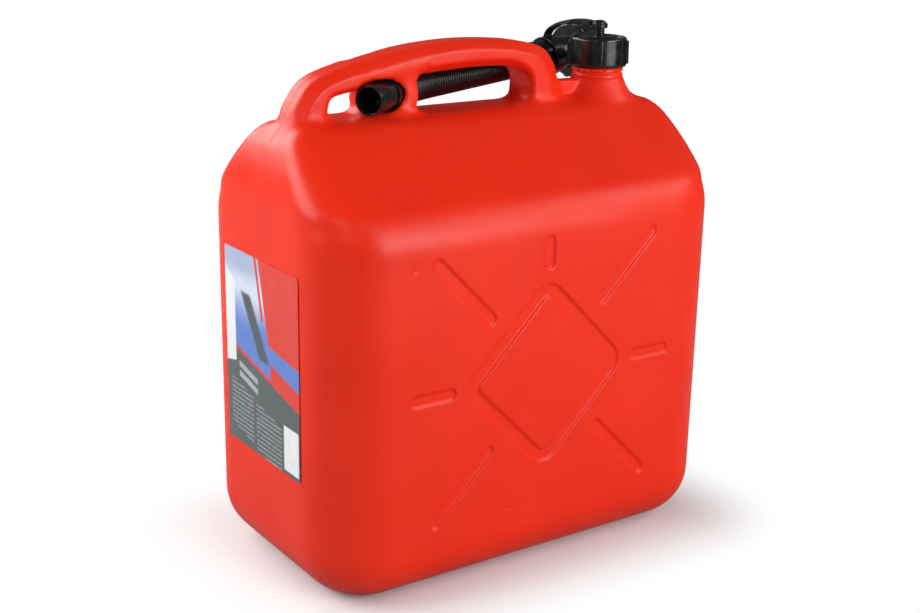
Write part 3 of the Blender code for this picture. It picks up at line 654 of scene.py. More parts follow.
@dataclass(frozen=True)
class MouldedRed:
    """Satin red polyethylene with the mould's grain, a parting line and light handling marks."""

    colour: Triple = (0.86, 0.026, 0.0045)
    deep: Triple = (0.72, 0.014, 0.003)
    seam_half: float = 0.0006

    def build(self) -> Material:
        """Make the material.

        Returns:
            The red plastic.
        """
        graph = NodeGraph("moulded_red")
        tone = graph.between(graph.noise(14.0, 3.0), 0.3, 0.7, 0.0, 0.30)
        seam = graph.between(graph.math("ABSOLUTE", graph.y), 0.0, self.seam_half, 1.0, 0.0)
        colour = graph.mix(tone, self.colour, self.deep)
        colour = graph.mix(graph.math("MULTIPLY", seam, 0.35), colour, self.deep)
        rough = graph.between(graph.noise(30.0, 4.0, 0.6), 0.35, 0.75, 0.33, 0.42)
        scuffs = graph.between(graph.noise(420.0, 4.0, 0.7), 0.62, 0.80, 0.0, 0.10)
        rough = graph.math("ADD", rough, scuffs)
        inputs = {"Base Color": colour, "Roughness": rough, "IOR": 1.5, "Specular IOR Level": 0.30}
        graph.feed(graph.shader, inputs)
        graph.bump((graph.noise(9.0, 1.0), 0.0030), (graph.noise(1300.0, 2.0, 0.6), 0.00005), (seam, 0.00018))
        return graph.material


@dataclass(frozen=True)
class BlackPlastic:
    """Black polypropylene with a soft gloss, flow marks and fine wear."""

    colour: Triple = (0.0055, 0.0060, 0.0060)
    dust: Triple = (0.018, 0.019, 0.019)

    def build(self) -> Material:
        """Make the material.

        Returns:
            The black plastic.
        """
        graph = NodeGraph("black_plastic")
        wear = graph.between(graph.noise(260.0, 5.0, 0.7), 0.45, 0.80, 0.0, 0.5)
        rough = graph.between(graph.noise(90.0, 3.0), 0.3, 0.7, 0.15, 0.30)
        colour = graph.mix(wear, self.colour, self.dust)
        inputs = {"Base Color": colour, "Roughness": rough, "IOR": 1.5, "Specular IOR Level": 0.5}
        graph.feed(graph.shader, inputs)
        graph.bump((graph.noise(60.0, 1.0), 0.0003), (graph.noise(2200.0, 2.0), 0.000008))
        return graph.material


@dataclass(frozen=True)
class SoftRubber:
    """Matt black sealing rubber with a fine bloom."""

    colour: Triple = (0.028, 0.028, 0.030)
    bloom: Triple = (0.065, 0.064, 0.062)

    def build(self) -> Material:
        """Make the material.

        Returns:
            The rubber.
        """
        graph = NodeGraph("soft_rubber")
        patch = graph.between(graph.noise(180.0, 4.0, 0.6), 0.4, 0.8, 0.0, 0.7)
        rough = graph.between(patch, 0.0, 0.7, 0.62, 0.82)
        colour = graph.mix(patch, self.colour, self.bloom)
        graph.feed(graph.shader, {"Base Color": colour, "Roughness": rough})
        graph.bump((graph.noise(1800.0, 3.0), 0.00008))
        return graph.material


@dataclass(frozen=True)
class LabelFilm:
    """Glossy printed film with plain colour fields and no words."""

    half_width: float = 0.056
    foot: float = 0.091
    height: float = 0.150
    line_count: int = 44
    past: float = 2.0
    sky: Triple = (0.40, 0.47, 0.66)
    haze: Triple = (0.66, 0.73, 0.86)
    blue: Triple = (0.10, 0.22, 0.62)
    shade: Triple = (0.07, 0.08, 0.10)
    white: Triple = (0.86, 0.87, 0.88)
    red: Triple = (0.76, 0.030, 0.012)
    grey: Triple = (0.085, 0.105, 0.108)
    line: Triple = (0.42, 0.44, 0.46)

    def build(self) -> Material:
        """Make the material, from coordinates that run from 0 to 1 across and up the label.

        Returns:
            The printed film.
        """
        graph = NodeGraph("label_film")
        past, stripe = self.past, graph.stripe
        across = graph.math("DIVIDE", graph.math("SUBTRACT", self.half_width, graph.y), 2 * self.half_width)
        up = graph.math("DIVIDE", graph.math("SUBTRACT", graph.z, self.foot), self.height)
        falling = graph.leaning(up, 0.17, across)
        red_side = graph.leaning(across, 0.30, up)
        shadow = stripe(graph.leaning(across, 0.85, up), 0.90, 1.03, 0.020), stripe(up, 0.50, 0.80, 0.012)
        corner = stripe(red_side, 0.775, past, 0.006), stripe(graph.leaning(up, 0.10, across), 0.655, past)
        strip_top = stripe(graph.leaning(up, 0.5, across), -past, 0.90)
        strip_foot = stripe(graph.leaning(up, -0.15, across), 0.405, past)
        rows = graph.math("SINE", graph.math("MULTIPLY", up, 2 * math.pi * self.line_count))
        dashes = graph.between(rows, 0.0, 0.5, 0.0, 0.75), graph.between(graph.noise(900.0, 1.0), 0.40, 0.48)
        columns = graph.math("MAXIMUM", stripe(across, 0.06, 0.37), stripe(across, 0.41, 0.76))
        heads = graph.math("MAXIMUM", stripe(falling, 0.435, 0.465), stripe(falling, 0.385, 0.415))
        drift = graph.leaning(up, 0.35, graph.noise(16.0, 2.0))
        colour = graph.mix(graph.between(drift, 0.78, 0.98), self.blue, self.haze)
        colour = graph.mix(graph.between(drift, 1.02, 1.16), colour, self.sky)
        for ink, *masks in (
            (self.shade, *shadow),
            (self.red, *corner),
            (self.red, stripe(red_side, 0.715, 0.745), stripe(up, 0.70, past)),
            (self.red, stripe(falling, -past, 0.535)),
            (self.red, stripe(across, 0.62, past), stripe(falling, 0.4, 0.615)),
            (self.grey, stripe(falling, -past, 0.515)),
            (self.white, stripe(across, -past, 0.135), strip_top, strip_foot),
            (self.line, *dashes, columns, stripe(falling, 0.095, 0.345)),
            (self.line, heads, stripe(across, 0.18, 0.44)),
            (self.white, stripe(across, 0.79, 0.985), stripe(up, 0.02, 0.245)),
        ):
            colour = graph.mix(graph.product(*masks), colour, ink)
        rough = graph.between(graph.noise(60.0, 3.0), 0.3, 0.7, 0.20, 0.30)
        graph.feed(graph.shader, {"Base Color": colour, "Roughness": rough, "IOR": 1.5, "Coat Weight": 0.25})
        graph.bump((graph.noise(35.0, 1.0), 0.0010), (graph.noise(900.0, 2.0), 0.00003))
        return graph.material


def finish_piece(obj: Object, paint: Paint, slot: Slot, node: str, body: Body | None = None) -> None:
    """Give a piece the material of its slot, hide the CAD node it replaces and put it on the body it rides
    on.

    Args:
        obj: The piece.
        paint: The material of each slot.
        slot: The record's material slot.
        node: The CAD node it replaces.
        body: The body it rides on, or None to leave it on no body.
    """
    obj.data.materials.append(paint[slot])
    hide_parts(node)
    if body is not None:
        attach(obj, body.value)
    LOG.info("%s: %d faces", obj.name, len(obj.data.polygons))


# The moulded can


@dataclass
class CanForms:
    """The simple forms that the moulded can is blended from."""

    sizes: CanSizes = CAN
    corner_steps: int = 12
    fillet_steps: int = 10
    fold_radius: float = 0.0030
    fold_steps: int = 5
    outer_most: float = 0.6
    inner_most: float = 0.3
    row_steps: int = 6
    cone_steps: int = 8
    sides: int = 72
    least_corner: float = 0.0003

    def ring(self, half_x: float, half_y: float, corner: float, height: float) -> list[Vector]:
        """Level ring round a rectangle with rounded corners.

        Args:
            half_x: Half length.
            half_y: Half width.
            corner: Corner radius.
            height: Level.

        Returns:
            The ring's points.
        """
        corner = min(corner, half_x, half_y)
        out = []
        for quarter, (sx, sy) in enumerate(((1, 1), (-1, 1), (-1, -1), (1, -1))):
            for k in range(self.corner_steps + 1):
                turn = math.pi / 2 * (quarter + k / self.corner_steps)
                x = sx * (half_x - corner) + corner * math.cos(turn)
                out.append(Vector((x, sy * (half_y - corner) + corner * math.sin(turn), height)))
        return out

    def outline(self, half: float, fold: float, crest: float, fillets: Pair) -> np.ndarray:
        """Upright outline of the tank, from its base to its crest.

        Args:
            half: Half length or half width.
            fold: Height where it starts to lean in.
            crest: Half length or half width of the crest.
            fillets: Fillets at the fold and at the crest.

        Returns:
            Heights in one row and distances from the middle in the other.
        """
        top = self.sizes.height
        corners = ((0, 0), (half, 0), (half, fold), (crest, top), (0, top))
        line = filleted(corners, (0, self.sizes.base_fillet, *fillets, 0), self.fillet_steps)
        return np.array([(point.y, point.x) for point in line[1:-1]]).T

    def tank(self) -> Object:
        """Loft the tank.

        Returns:
            The tank's form.
        """
        s = self.sizes
        across = self.outline(s.width / 2, s.fold_height, s.crest_width / 2, (s.fold_fillet, s.crest_fillet))
        half = s.length / 2
        fillets = s.end_fold_fillet, s.end_crown_fillet
        along = self.outline(half, s.end_fold_height, half - s.end_inset, fillets)
        rings = []
        for height in sorted({round(float(level), 6) for level in (*across[0], *along[0])}):
            half_x, half_y = (float(np.interp(height, *line)) for line in (along, across))
            climb = min(max((height - s.fold_height) / (s.height - s.fold_height), 0), 1)
            corner = s.plan_corner + (s.crest_corner - s.plan_corner) * climb
            corner -= s.width / 2 - half_y if height < s.fold_height / 2 else 0
            rings.append(self.ring(half_x, half_y, max(corner, self.least_corner), height))
        return loft(rings, "tank_form")

    def handle_rows(self) -> list[np.ndarray]:
        """Smooth rows between those of the handle's shares, by a Catmull-Rom curve.

        Returns:
            The rows.
        """
        table, rows = np.array(HANDLE_SHARES), []
        last = len(table) - 1
        for i in range(last):
            a, b, c, d = (table[min(max(j, 0), last)] for j in (i - 1, i, i + 1, i + 2))
            for t in (k / self.row_steps for k in range(self.row_steps)):
                curve = (2 * a - 5 * b + 4 * c - d) * t * t + (3 * b - a - 3 * c + d) * t ** 3
                rows.append(0.5 * (2 * b + (c - a) * t + curve))
        return [*rows, table[-1]]

    def handle(self) -> Object:
        """Loft the handle through its sections.

        Returns:
            The handle's form.
        """
        s, rings = self.sizes, []
        half = s.handle_width / 2
        for ox, oz, ix, iz, chamfer, band, flare, inner_band in self.handle_rows():
            outer, inner = (
                Vector((s.handle_left + x * s.handle_length, 0, s.height + z * s.handle_rise))
                for x, z in ((ox, oz), (ix, iz))
            )
            reach, span = (outer - inner).normalized(), (outer - inner).length
            high = span - min(chamfer * s.handle_chamfer, self.outer_most * span)
            low = min(flare * s.handle_chamfer, self.inner_most * span)
            side = ((span, band * half), (high, half), (low, half), (0, inner_band * half))
            shape = (*side, *((up, -out) for up, out in reversed(side)))
            line = filleted(shape, [self.fold_radius] * len(shape), self.fold_steps)
            rings.append([inner + reach * p.x + Vector((0, p.y, 0)) for p in line])
        return loft(rings, "handle_form")

    def neck(self) -> Object:
        """Turn the plain neck with its flared foot.

        Returns:
            The neck's form.
        """
        s = self.sizes
        top, foot, core = s.neck_top - s.neck_soft, s.neck_foot, s.neck_radius - s.neck_soft
        rim = s.bead_radius - s.cone_inset
        profile = [(0, top), (core, top), (core, foot + s.bead_soft), (rim, foot)]
        for share in (k / self.cone_steps for k in range(1, self.cone_steps + 1)):
            swell = (1 - s.cone_flare) * share + s.cone_flare * share ** 3
            radius = s.bead_radius + (s.cone_radius - s.bead_radius) * swell
            profile.append((radius, foot - s.cone_height * share))
        profile += [(s.cone_radius, s.height - s.neck_sink), (0, s.height - s.neck_sink)]
        return lathe(profile, "neck_form", self.sides, standing(s.neck_x))

    def block(self, name: str, ends: Pair, width: float, heights: Pair) -> Object:
        """Box in a block across the can's middle, between two heights over the crest."""
        corners = zip(ends, (-width / 2, width / 2), (self.sizes.height + level for level in heights))
        return mesh_object(box_mesh(*map(Vector, corners)), name)

    def solids(self) -> list[Object]:
        """Make the forms that are joined.

        Returns:
            The tank, handle, neck, web and gusset.
        """
        s = self.sizes
        web = self.block("web_form", (s.web_start, s.web_end), s.web_width, (-s.web_sink, s.web_rise))
        levels = -s.gusset_sink, s.gusset_rise
        gusset = self.block("gusset_form", (s.gusset_start, s.neck_x), s.gusset_width, levels)
        return [self.tank(), self.handle(), self.neck(), web, gusset]

    def cutters(self) -> list[Object]:
        """Make the forms that are cut away.

        Returns:
            The neck's mouth, the nozzle's storage bore and the base's shallow panel.
        """
        s = self.sizes
        reach = (Vector(SPOUT.bend) - Vector(SPOUT.tip)).length
        rods = (
            ("mouth_cutter", s.neck_bore, s.mouth_foot, s.neck_top + s.cut_past, standing(s.neck_x)),
            ("storage_cutter", s.bore_radius, 0, reach, aimed(SPOUT.tip, SPOUT.nozzle_line)),
        )
        made = [
            lathe(((0, high), (radius, high), (radius, low), (0, low)), name, self.sides, place)
            for name, radius, low, high, place in rods
        ]
        halves = s.length / 2 - s.panel_margin, s.width / 2 - s.panel_margin
        panel = [self.ring(*halves, s.panel_margin / 2, height) for height in (-s.cut_past, s.panel_depth)]
        return [*made, loft(panel, "panel_cutter")]


@dataclass
class GroovePattern:
    """The embossed pattern as a field of depth over the broad faces."""

    sizes: PatternSizes = PATTERN
    corner_steps: int = 6

    def segments(self) -> list[tuple[Vector, Vector, float]]:
        """Centre lines of the grooves on one face.

        Returns:
            Start, end and half width of each straight stretch, in (x, z).
        """
        p = self.sizes
        corners = [(0, p.level + p.reach), (p.reach, p.level), (0, p.level - p.reach), (-p.reach, p.level)]
        outline = filleted(corners, [p.corner] * 4, self.corner_steps)
        out = [(a, b, p.diamond_half) for a, b in zip(outline, outline[1:] + outline[:1])]
        bars = [(0, 1, p.short_start, p.upright_length)]
        bars += [(side, 0, p.short_start, p.short_length) for side in (-1, 1)]
        bars += [(side, up, p.diagonal_start, p.diagonal_length) for side in (-1, 1) for up in (-1, 1)]
        centre = Vector((0, p.level))
        for side, up, start, length in bars:
            line = Vector((side, up)).normalized()
            end = centre + line * (start + length - p.bar_half)
            out.append((centre + line * (start + p.bar_half), end, p.bar_half))
        return out

    def distances(self, points: np.ndarray) -> np.ndarray:
        """Distance from each point to the nearest groove's edge, negative inside it.

        Args:
            points: Array of (x, z).

        Returns:
            The distances.
        """
        best = np.full(len(points), 1.0)
        for a, b, half in self.segments():
            start, run = np.array(a), np.array(b - a)
            t = np.clip(((points - start) @ run) / (run @ run), 0, 1)
            best = np.minimum(best, np.linalg.norm(points - start - t[:, None] * run, axis=1) - half)
        return best

    def from_vents(self, points: np.ndarray) -> np.ndarray:
        """Distance from each point to the middle of the nearest vent."""
        return np.min([np.linalg.norm(points - np.array(vent), axis=1) for vent in self.sizes.vents], axis=0)

    def depths(self, points: np.ndarray) -> np.ndarray:
        """Depth of the pattern at each point.

        Args:
            points: Array of (x, z).

        Returns:
            The depths in metres.
        """
        p = self.sizes
        grooves = p.depth * eased(0.5 - self.distances(points) / p.wall)
        vents = p.vent_depth * eased(1 - self.from_vents(points) / (p.vent_spread * p.vent_radius))
        return np.maximum(grooves, vents)

    def near(self, points: np.ndarray, margin: float) -> np.ndarray:
        """Which points lie within a margin of the pattern."""
        return (self.distances(points) < margin) | (self.from_vents(points) < margin + self.sizes.vent_radius)


@dataclass
class MouldedCan:
    """The red can in one skin, with soft blends where its forms meet."""

    paint: Paint
    forms: CanForms = field(default_factory=CanForms)
    pattern: GroovePattern = field(default_factory=GroovePattern)
    voxel: float = 0.0034
    margins: Pair = (0.0042, 0.0024)
    face_reach: float = 0.004
    press_reach: float = 0.003
    handle_foot: float = 0.339
    crest_foot: float = 0.3325
    crest_half: float = 0.031
    crest_clear: float = 0.001
    fold_angle: float = 9.0
    fold_clear: float = 0.002
    fold_spacing: float = 0.001
    fold_reach: float = 0.0013
    blend_reach: float = 0.0080
    blend_share: float = 1.25
    blend_depth: float = 0.012
    blend_rounds: int = 40
    settle_rounds: int = 2
    settle_share: float = 0.6
    step_share: float = 0.5
    crisp_reach: float = 0.0012
    crisp_share: float = 0.03
    neck_clear: float = 0.0215
    light: float = 0.45
    smooth_angle: float = 62.0

    def build(self) -> None:
        """Blend the forms, press the pattern in and dress the skin."""
        solids, cutters = self.forms.solids(), self.forms.cutters()
        trees = [tree_of(form.data) for form in solids]
        whole = self.joined(solids, cutters)
        skin, target = self.remeshed(whole), tree_of(whole)
        self.refine(skin, self.near_top(skin))
        for margin in self.margins:
            places = places_of(skin)
            near = self.on_faces(places, self.face_reach) & self.pattern.near(places[:, [0, 2]], margin)
            self.refine(skin, near)
        self.wrap(skin, target)
        self.refine(skin, self.near_folds(skin, whole))
        self.wrap(skin, target)
        self.soften(skin, trees)
        self.press(skin)
        bm = bmesh.new()
        bm.from_mesh(skin)
        bmesh.ops.triangulate(bm, faces=[face for face in bm.faces if len(face.verts) > 4])
        made = mesh_object(bm, "can_skin", self.smooth_angle)
        for form in (*solids, *cutters):
            bpy.data.objects.remove(form)
        finish_piece(made, self.paint, Slot.CAN, "can_body", Body.CAN)

    @staticmethod
    def joined(solids: Sequence[Object], cutters: Sequence[Object]) -> Mesh:
        """Join forms and cut the openings.

        Args:
            solids: The forms, of which the first carries the others.
            cutters: What is cut away.

        Returns:
            The joined mesh.
        """
        for operation, tools in (("UNION", solids[1:]), ("DIFFERENCE", cutters)):
            group = bpy.data.collections.new(operation)
            for tool in tools:
                group.objects.link(tool)
            step = solids[0].modifiers.new(operation, "BOOLEAN")
            step.operation = operation
            step.solver = "EXACT"
            step.operand_type = "COLLECTION"
            step.collection = group
        return evaluated_mesh(solids[0])

    def remeshed(self, mesh: Mesh) -> Mesh:
        """Cover a mesh with even faces.

        Args:
            mesh: The mesh to cover.

        Returns:
            The even mesh.
        """
        holder = bpy.data.objects.new("holder", mesh)
        bpy.context.scene.collection.objects.link(holder)
        step = holder.modifiers.new("even", "REMESH")
        step.mode = "VOXEL"
        step.voxel_size = self.voxel
        even = evaluated_mesh(holder)
        bpy.data.objects.remove(holder)
        return even

    def near_top(self, mesh: Mesh) -> np.ndarray:
        """Mask the vertices of the handle, the crest and the neck."""
        _, y, z = places_of(mesh).T
        return (z > self.handle_foot) | (z > self.crest_foot) & (np.abs(y) < self.crest_half)

    def on_faces(self, places: np.ndarray, margin: float) -> np.ndarray:
        """Mask the places that lie within a margin of the two broad faces' planes."""
        return np.abs(np.abs(places[:, 1]) - self.forms.sizes.width / 2) < margin

    def near_folds(self, mesh: Mesh, whole: Mesh) -> np.ndarray:
        """Find the vertices near the crisp folds of the handle, web and gusset.

        Args:
            mesh: The mesh.
            whole: The exact forms, whose angled edges are the folds.

        Returns:
            A mask of the mesh's vertices.
        """
        top = self.forms.sizes.height
        bm = bmesh.new()
        bm.from_mesh(whole)
        spots = []
        for edge in bm.edges:
            a, b = (vert.co for vert in edge.verts)
            high = min(a.z, b.z) > top + self.fold_clear
            if high and edge.calc_face_angle(0.0) > math.radians(self.fold_angle):
                steps = max(1, round((b - a).length / self.fold_spacing))
                spots += [a.lerp(b, k / steps) for k in range(steps + 1)]
        bm.free()
        tree = KDTree(len(spots))
        for i, spot in enumerate(spots):
            tree.insert(spot, i)
        tree.balance()
        foot, reach = top + self.crest_clear, self.fold_reach
        return np.array([vert.co.z > foot and tree.find(vert.co)[2] < reach for vert in mesh.vertices])

    @staticmethod
    def refine(mesh: Mesh, near: np.ndarray) -> None:
        """Split the edges between chosen vertices.

        Args:
            mesh: The mesh, changed in place.
            near: A mask of its vertices.
        """
        bm = bmesh.new()
        bm.from_mesh(mesh)
        bm.verts.ensure_lookup_table()
        edges = [edge for edge in bm.edges if all(near[vert.index] for vert in edge.verts)]
        bmesh.ops.subdivide_edges(bm, edges=edges, cuts=1, use_grid_fill=True)
        bm.to_mesh(mesh)
        bm.free()

    @staticmethod
    def wrap(mesh: Mesh, target: BVHTree) -> None:
        """Pull each vertex of a mesh onto the exact forms."""
        for vert in mesh.vertices:
            vert.co = target.find_nearest(vert.co)[0]

    def soften(self, mesh: Mesh, trees: Sequence[BVHTree]) -> None:
        """Smooth the joints between the forms into soft fillets, and the folds of the handle a little.

        Args:
            mesh: The mesh, changed in place.
            trees: The forms that were joined, of which the last keeps its edges crisp.
        """
        s, co = self.forms.sizes, places_of(mesh)
        edges = np.array([edge.vertices for edge in mesh.edges])
        strong = np.zeros(len(co))
        for i in np.flatnonzero(co[:, 2] > s.height - self.blend_depth):
            away = [tree.find_nearest(co[i])[3] for tree in trees]
            strong[i] = np.clip(self.blend_share - sorted(away)[1] / self.blend_reach, 0, 1)
            if away[-1] < self.crisp_reach:
                strong[i] *= self.crisp_share
        neck = np.hypot(co[:, 0] - s.neck_x, co[:, 1]) < self.neck_clear
        strong[neck & (co[:, 2] > s.neck_foot)] = 0
        light = np.where((co[:, 2] > s.height + self.crest_clear) & ~neck, self.light, 0.0)
        degree = np.bincount(edges.ravel(), minlength=len(co)).astype(float)[:, None]
        settled = np.maximum(light, self.settle_share * strong)
        for weight, rounds in ((strong, self.blend_rounds), (settled, self.settle_rounds)):
            for _ in range(rounds):
                total = sum(
                    np.stack([np.bincount(one, co[other, axis], len(co)) for axis in range(3)], 1)
                    for one, other in (edges.T, edges.T[::-1])
                )
                co += self.step_share * weight[:, None] * (total / degree - co)
        mesh.vertices.foreach_set("co", co.ravel())

    def press(self, mesh: Mesh) -> None:
        """Press the pattern into the two broad faces.

        Args:
            mesh: The mesh, changed in place.
        """
        co = places_of(mesh)
        low = co[:, 2] < self.forms.sizes.fold_height
        index = np.flatnonzero(self.on_faces(co, self.press_reach) & low)
        co[index, 1] -= np.sign(co[index, 1]) * self.pattern.depths(co[index][:, [0, 2]])
        mesh.vertices.foreach_set("co", co.ravel())


@dataclass
class NeckFinish:
    """The neck's crisp upper part, with its two beads, its ratchet teeth and its rim."""

    paint: Paint
    sizes: CanSizes = CAN
    sides: int = 240
    teeth: int = 12
    tooth_share: float = 0.3
    tooth_depth: float = 0.55
    tooth_past: float = 0.0004
    wall_clear: float = 0.0005
    hem: float = 0.0009
    tuck: float = 0.002
    underlap: float = 0.0022
    smooth_angle: float = 30.0

    def build(self) -> None:
        """Turn the finish and cut the teeth into its upper bead."""
        s = self.sizes
        foot, neck, bead, soft, high = s.neck_foot, s.neck_radius, s.bead_radius, s.bead_soft, s.bead_height
        beads = []
        for low in (foot + s.bead_pitch, foot):
            beads += [
                (neck, low + high + bead - neck), (bead - soft, low + high + soft), (bead, low + high - soft),
                (bead, low + soft), (bead - soft, low), (neck, low - soft),
            ]
        rim, under = (s.neck_bore, s.neck_top - s.neck_soft), foot - self.underlap
        profile = [
            rim, (s.neck_bore + s.neck_soft, s.neck_top), (neck - s.neck_soft, s.neck_top),
            (neck, s.neck_top - s.neck_soft), *beads[:-1],
            (bead + soft, foot - self.hem), (bead - self.tuck, under), (s.neck_bore, under), rim,
        ]
        bm = turned(profile, self.sides)
        low, step = foot + s.bead_pitch, 2 * math.pi / self.teeth
        for vert in bm.verts:
            radius = vert.co.xy.length
            share = (math.atan2(vert.co.y, vert.co.x) % step) / step
            raised = low - self.tooth_past < vert.co.z < low + high + self.tooth_past / 2
            if raised and radius > neck + self.wall_clear and share < self.tooth_share:
                vert.co.xy *= 1 - (bead - neck) * self.tooth_depth / radius
        finish = mesh_object(bm, "neck_finish", self.smooth_angle, standing(s.neck_x))
        finish_piece(finish, self.paint, Slot.CAN, "can_body", Body.CAN)


@dataclass
class EndLabel:
    """The printed film on the narrow end."""

    paint: Paint
    corner: float = 0.002
    corner_steps: int = 6

    def build(self) -> None:
        """Make the film with rounded corners."""
        low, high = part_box("label")
        bm = box_mesh(low, high)
        along = [e for e in bm.edges if abs(e.verts[0].co.x - e.verts[1].co.x) > 0.5 * (high.x - low.x)]
        bmesh.ops.bevel(
            bm, geom=along, offset=self.corner, segments=self.corner_steps, profile=0.5, affect="EDGES",
            material=-1,
        )
        finish_piece(mesh_object(bm, "label_film"), self.paint, Slot.LABEL, "label", Body.CAN)


# Cap, strap and spout


def raise_ribs(
    bm: BMesh, count: int, turn: float, width: float, reach: float, heights: Pair, inner: float
) -> None:
    """Raise upright ribs out of a turned wall by moving its outer vertices outwards.

    Args:
        bm: The turned wall, about Z.
        count: How many ribs.
        turn: Direction of the first, in radians.
        width: Width of a rib.
        reach: How far it stands out.
        heights: Its foot and its top.
        inner: Radius beyond which a vertex belongs to the outer wall.
    """
    step = 2 * math.pi / count
    for vert in bm.verts:
        radius = vert.co.xy.length
        if radius >= inner and heights[0] <= vert.co.z <= heights[1]:
            angle = (math.atan2(vert.co.y, vert.co.x) - turn + step / 2) % step - step / 2
            share = eased(0.5 - (abs(angle) * radius - width / 2) / RIB_FLANK)
            vert.co.xy *= (radius + reach * share) / radius


@dataclass
class ScrewCap:
    """The cap with its lugs, raised disc and stud, and its gasket."""

    paint: Paint
    sizes: CapSizes = CAP
    sides: int = 300
    gasket_sides: int = 72
    dome_steps: int = 8
    edge_steps: int = 6
    smooth_angle: float = 32.0

    def profile(self) -> list[Pair]:
        """The cap's profile, from the stud's dome to the inside of the top.

        Returns:
            Points of (radius, height).
        """
        s = self.sizes
        head, disc, level = s.head_foot + s.head_height, s.top + s.crown_height, s.top + s.rim_rise
        lug_top, lug_foot, floor = s.top - s.lug_drop, s.foot + s.lug_foot, s.top - s.rim_depth
        rim, skirt, dome = s.radius - s.rim_width, s.radius + s.flare, s.dome_share * s.head_height
        rings = [s.head_foot - s.ring_start - s.ring_pitch * k for k in range(s.stem_rings)]
        edge = quarter_arc(s.edge, s.edge, self.edge_steps)
        return [
            *((out, head - down) for out, down in quarter_arc(s.head_radius, dome, self.dome_steps)),
            (s.head_radius, s.head_foot + s.soft), (s.head_radius - s.soft, s.head_foot),
            (s.stem_radius, s.head_foot),
            *((s.stem_radius - inwards, ring - down) for ring in rings for inwards, down in s.ring_edges),
            (s.stem_radius, s.top + s.fine), (s.eye_radius + s.seat_past, s.top + s.fine),
            *((s.disc_radius + out, disc - down) for out, down in s.crown_edge),
            (s.crown_foot, s.top - s.fine), (s.crown_foot + s.soft, floor), (rim - s.soft, floor),
            (rim, level - s.soft), (rim + s.soft, level),
            *((s.radius - s.edge + out, level - down) for out, down in edge),
            *((s.radius, lug_top + off) for off in s.lug_edges),
            (s.radius + NEAR, s.top - s.waist_drop), (skirt, lug_foot + s.foot_edge), (skirt, lug_foot),
            (skirt, s.foot + s.foot_edge), (s.radius, s.foot), (s.bore, s.foot), (s.bore, s.underside),
            (0, s.underside),
        ]

    def build(self) -> None:
        """Turn the cap, raise its lugs and seat its gasket."""
        s = self.sizes
        bm = turned(self.profile(), self.sides)
        heights = (s.foot + s.lug_foot + s.lug_rise, s.top - s.lug_drop - NEAR)
        raise_ribs(bm, s.lugs, math.radians(s.lug_turn), s.lug_width, s.lug_reach, heights, s.radius - NEAR)
        cap = mesh_object(bm, "cap_moulding", self.smooth_angle, standing(s.x))
        finish_piece(cap, self.paint, Slot.FITTINGS, "cap_shell", Body.CAP)
        low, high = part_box("cap_gasket")
        outer = (high.x - low.x) / 2
        ring = ring_profile(outer - s.gasket_width + s.gap, outer, low.z, high.z)
        gasket = lathe(ring, "cap_seal", self.gasket_sides, standing(s.x))
        finish_piece(gasket, self.paint, Slot.SEAL, "cap_gasket", Body.SEAL)


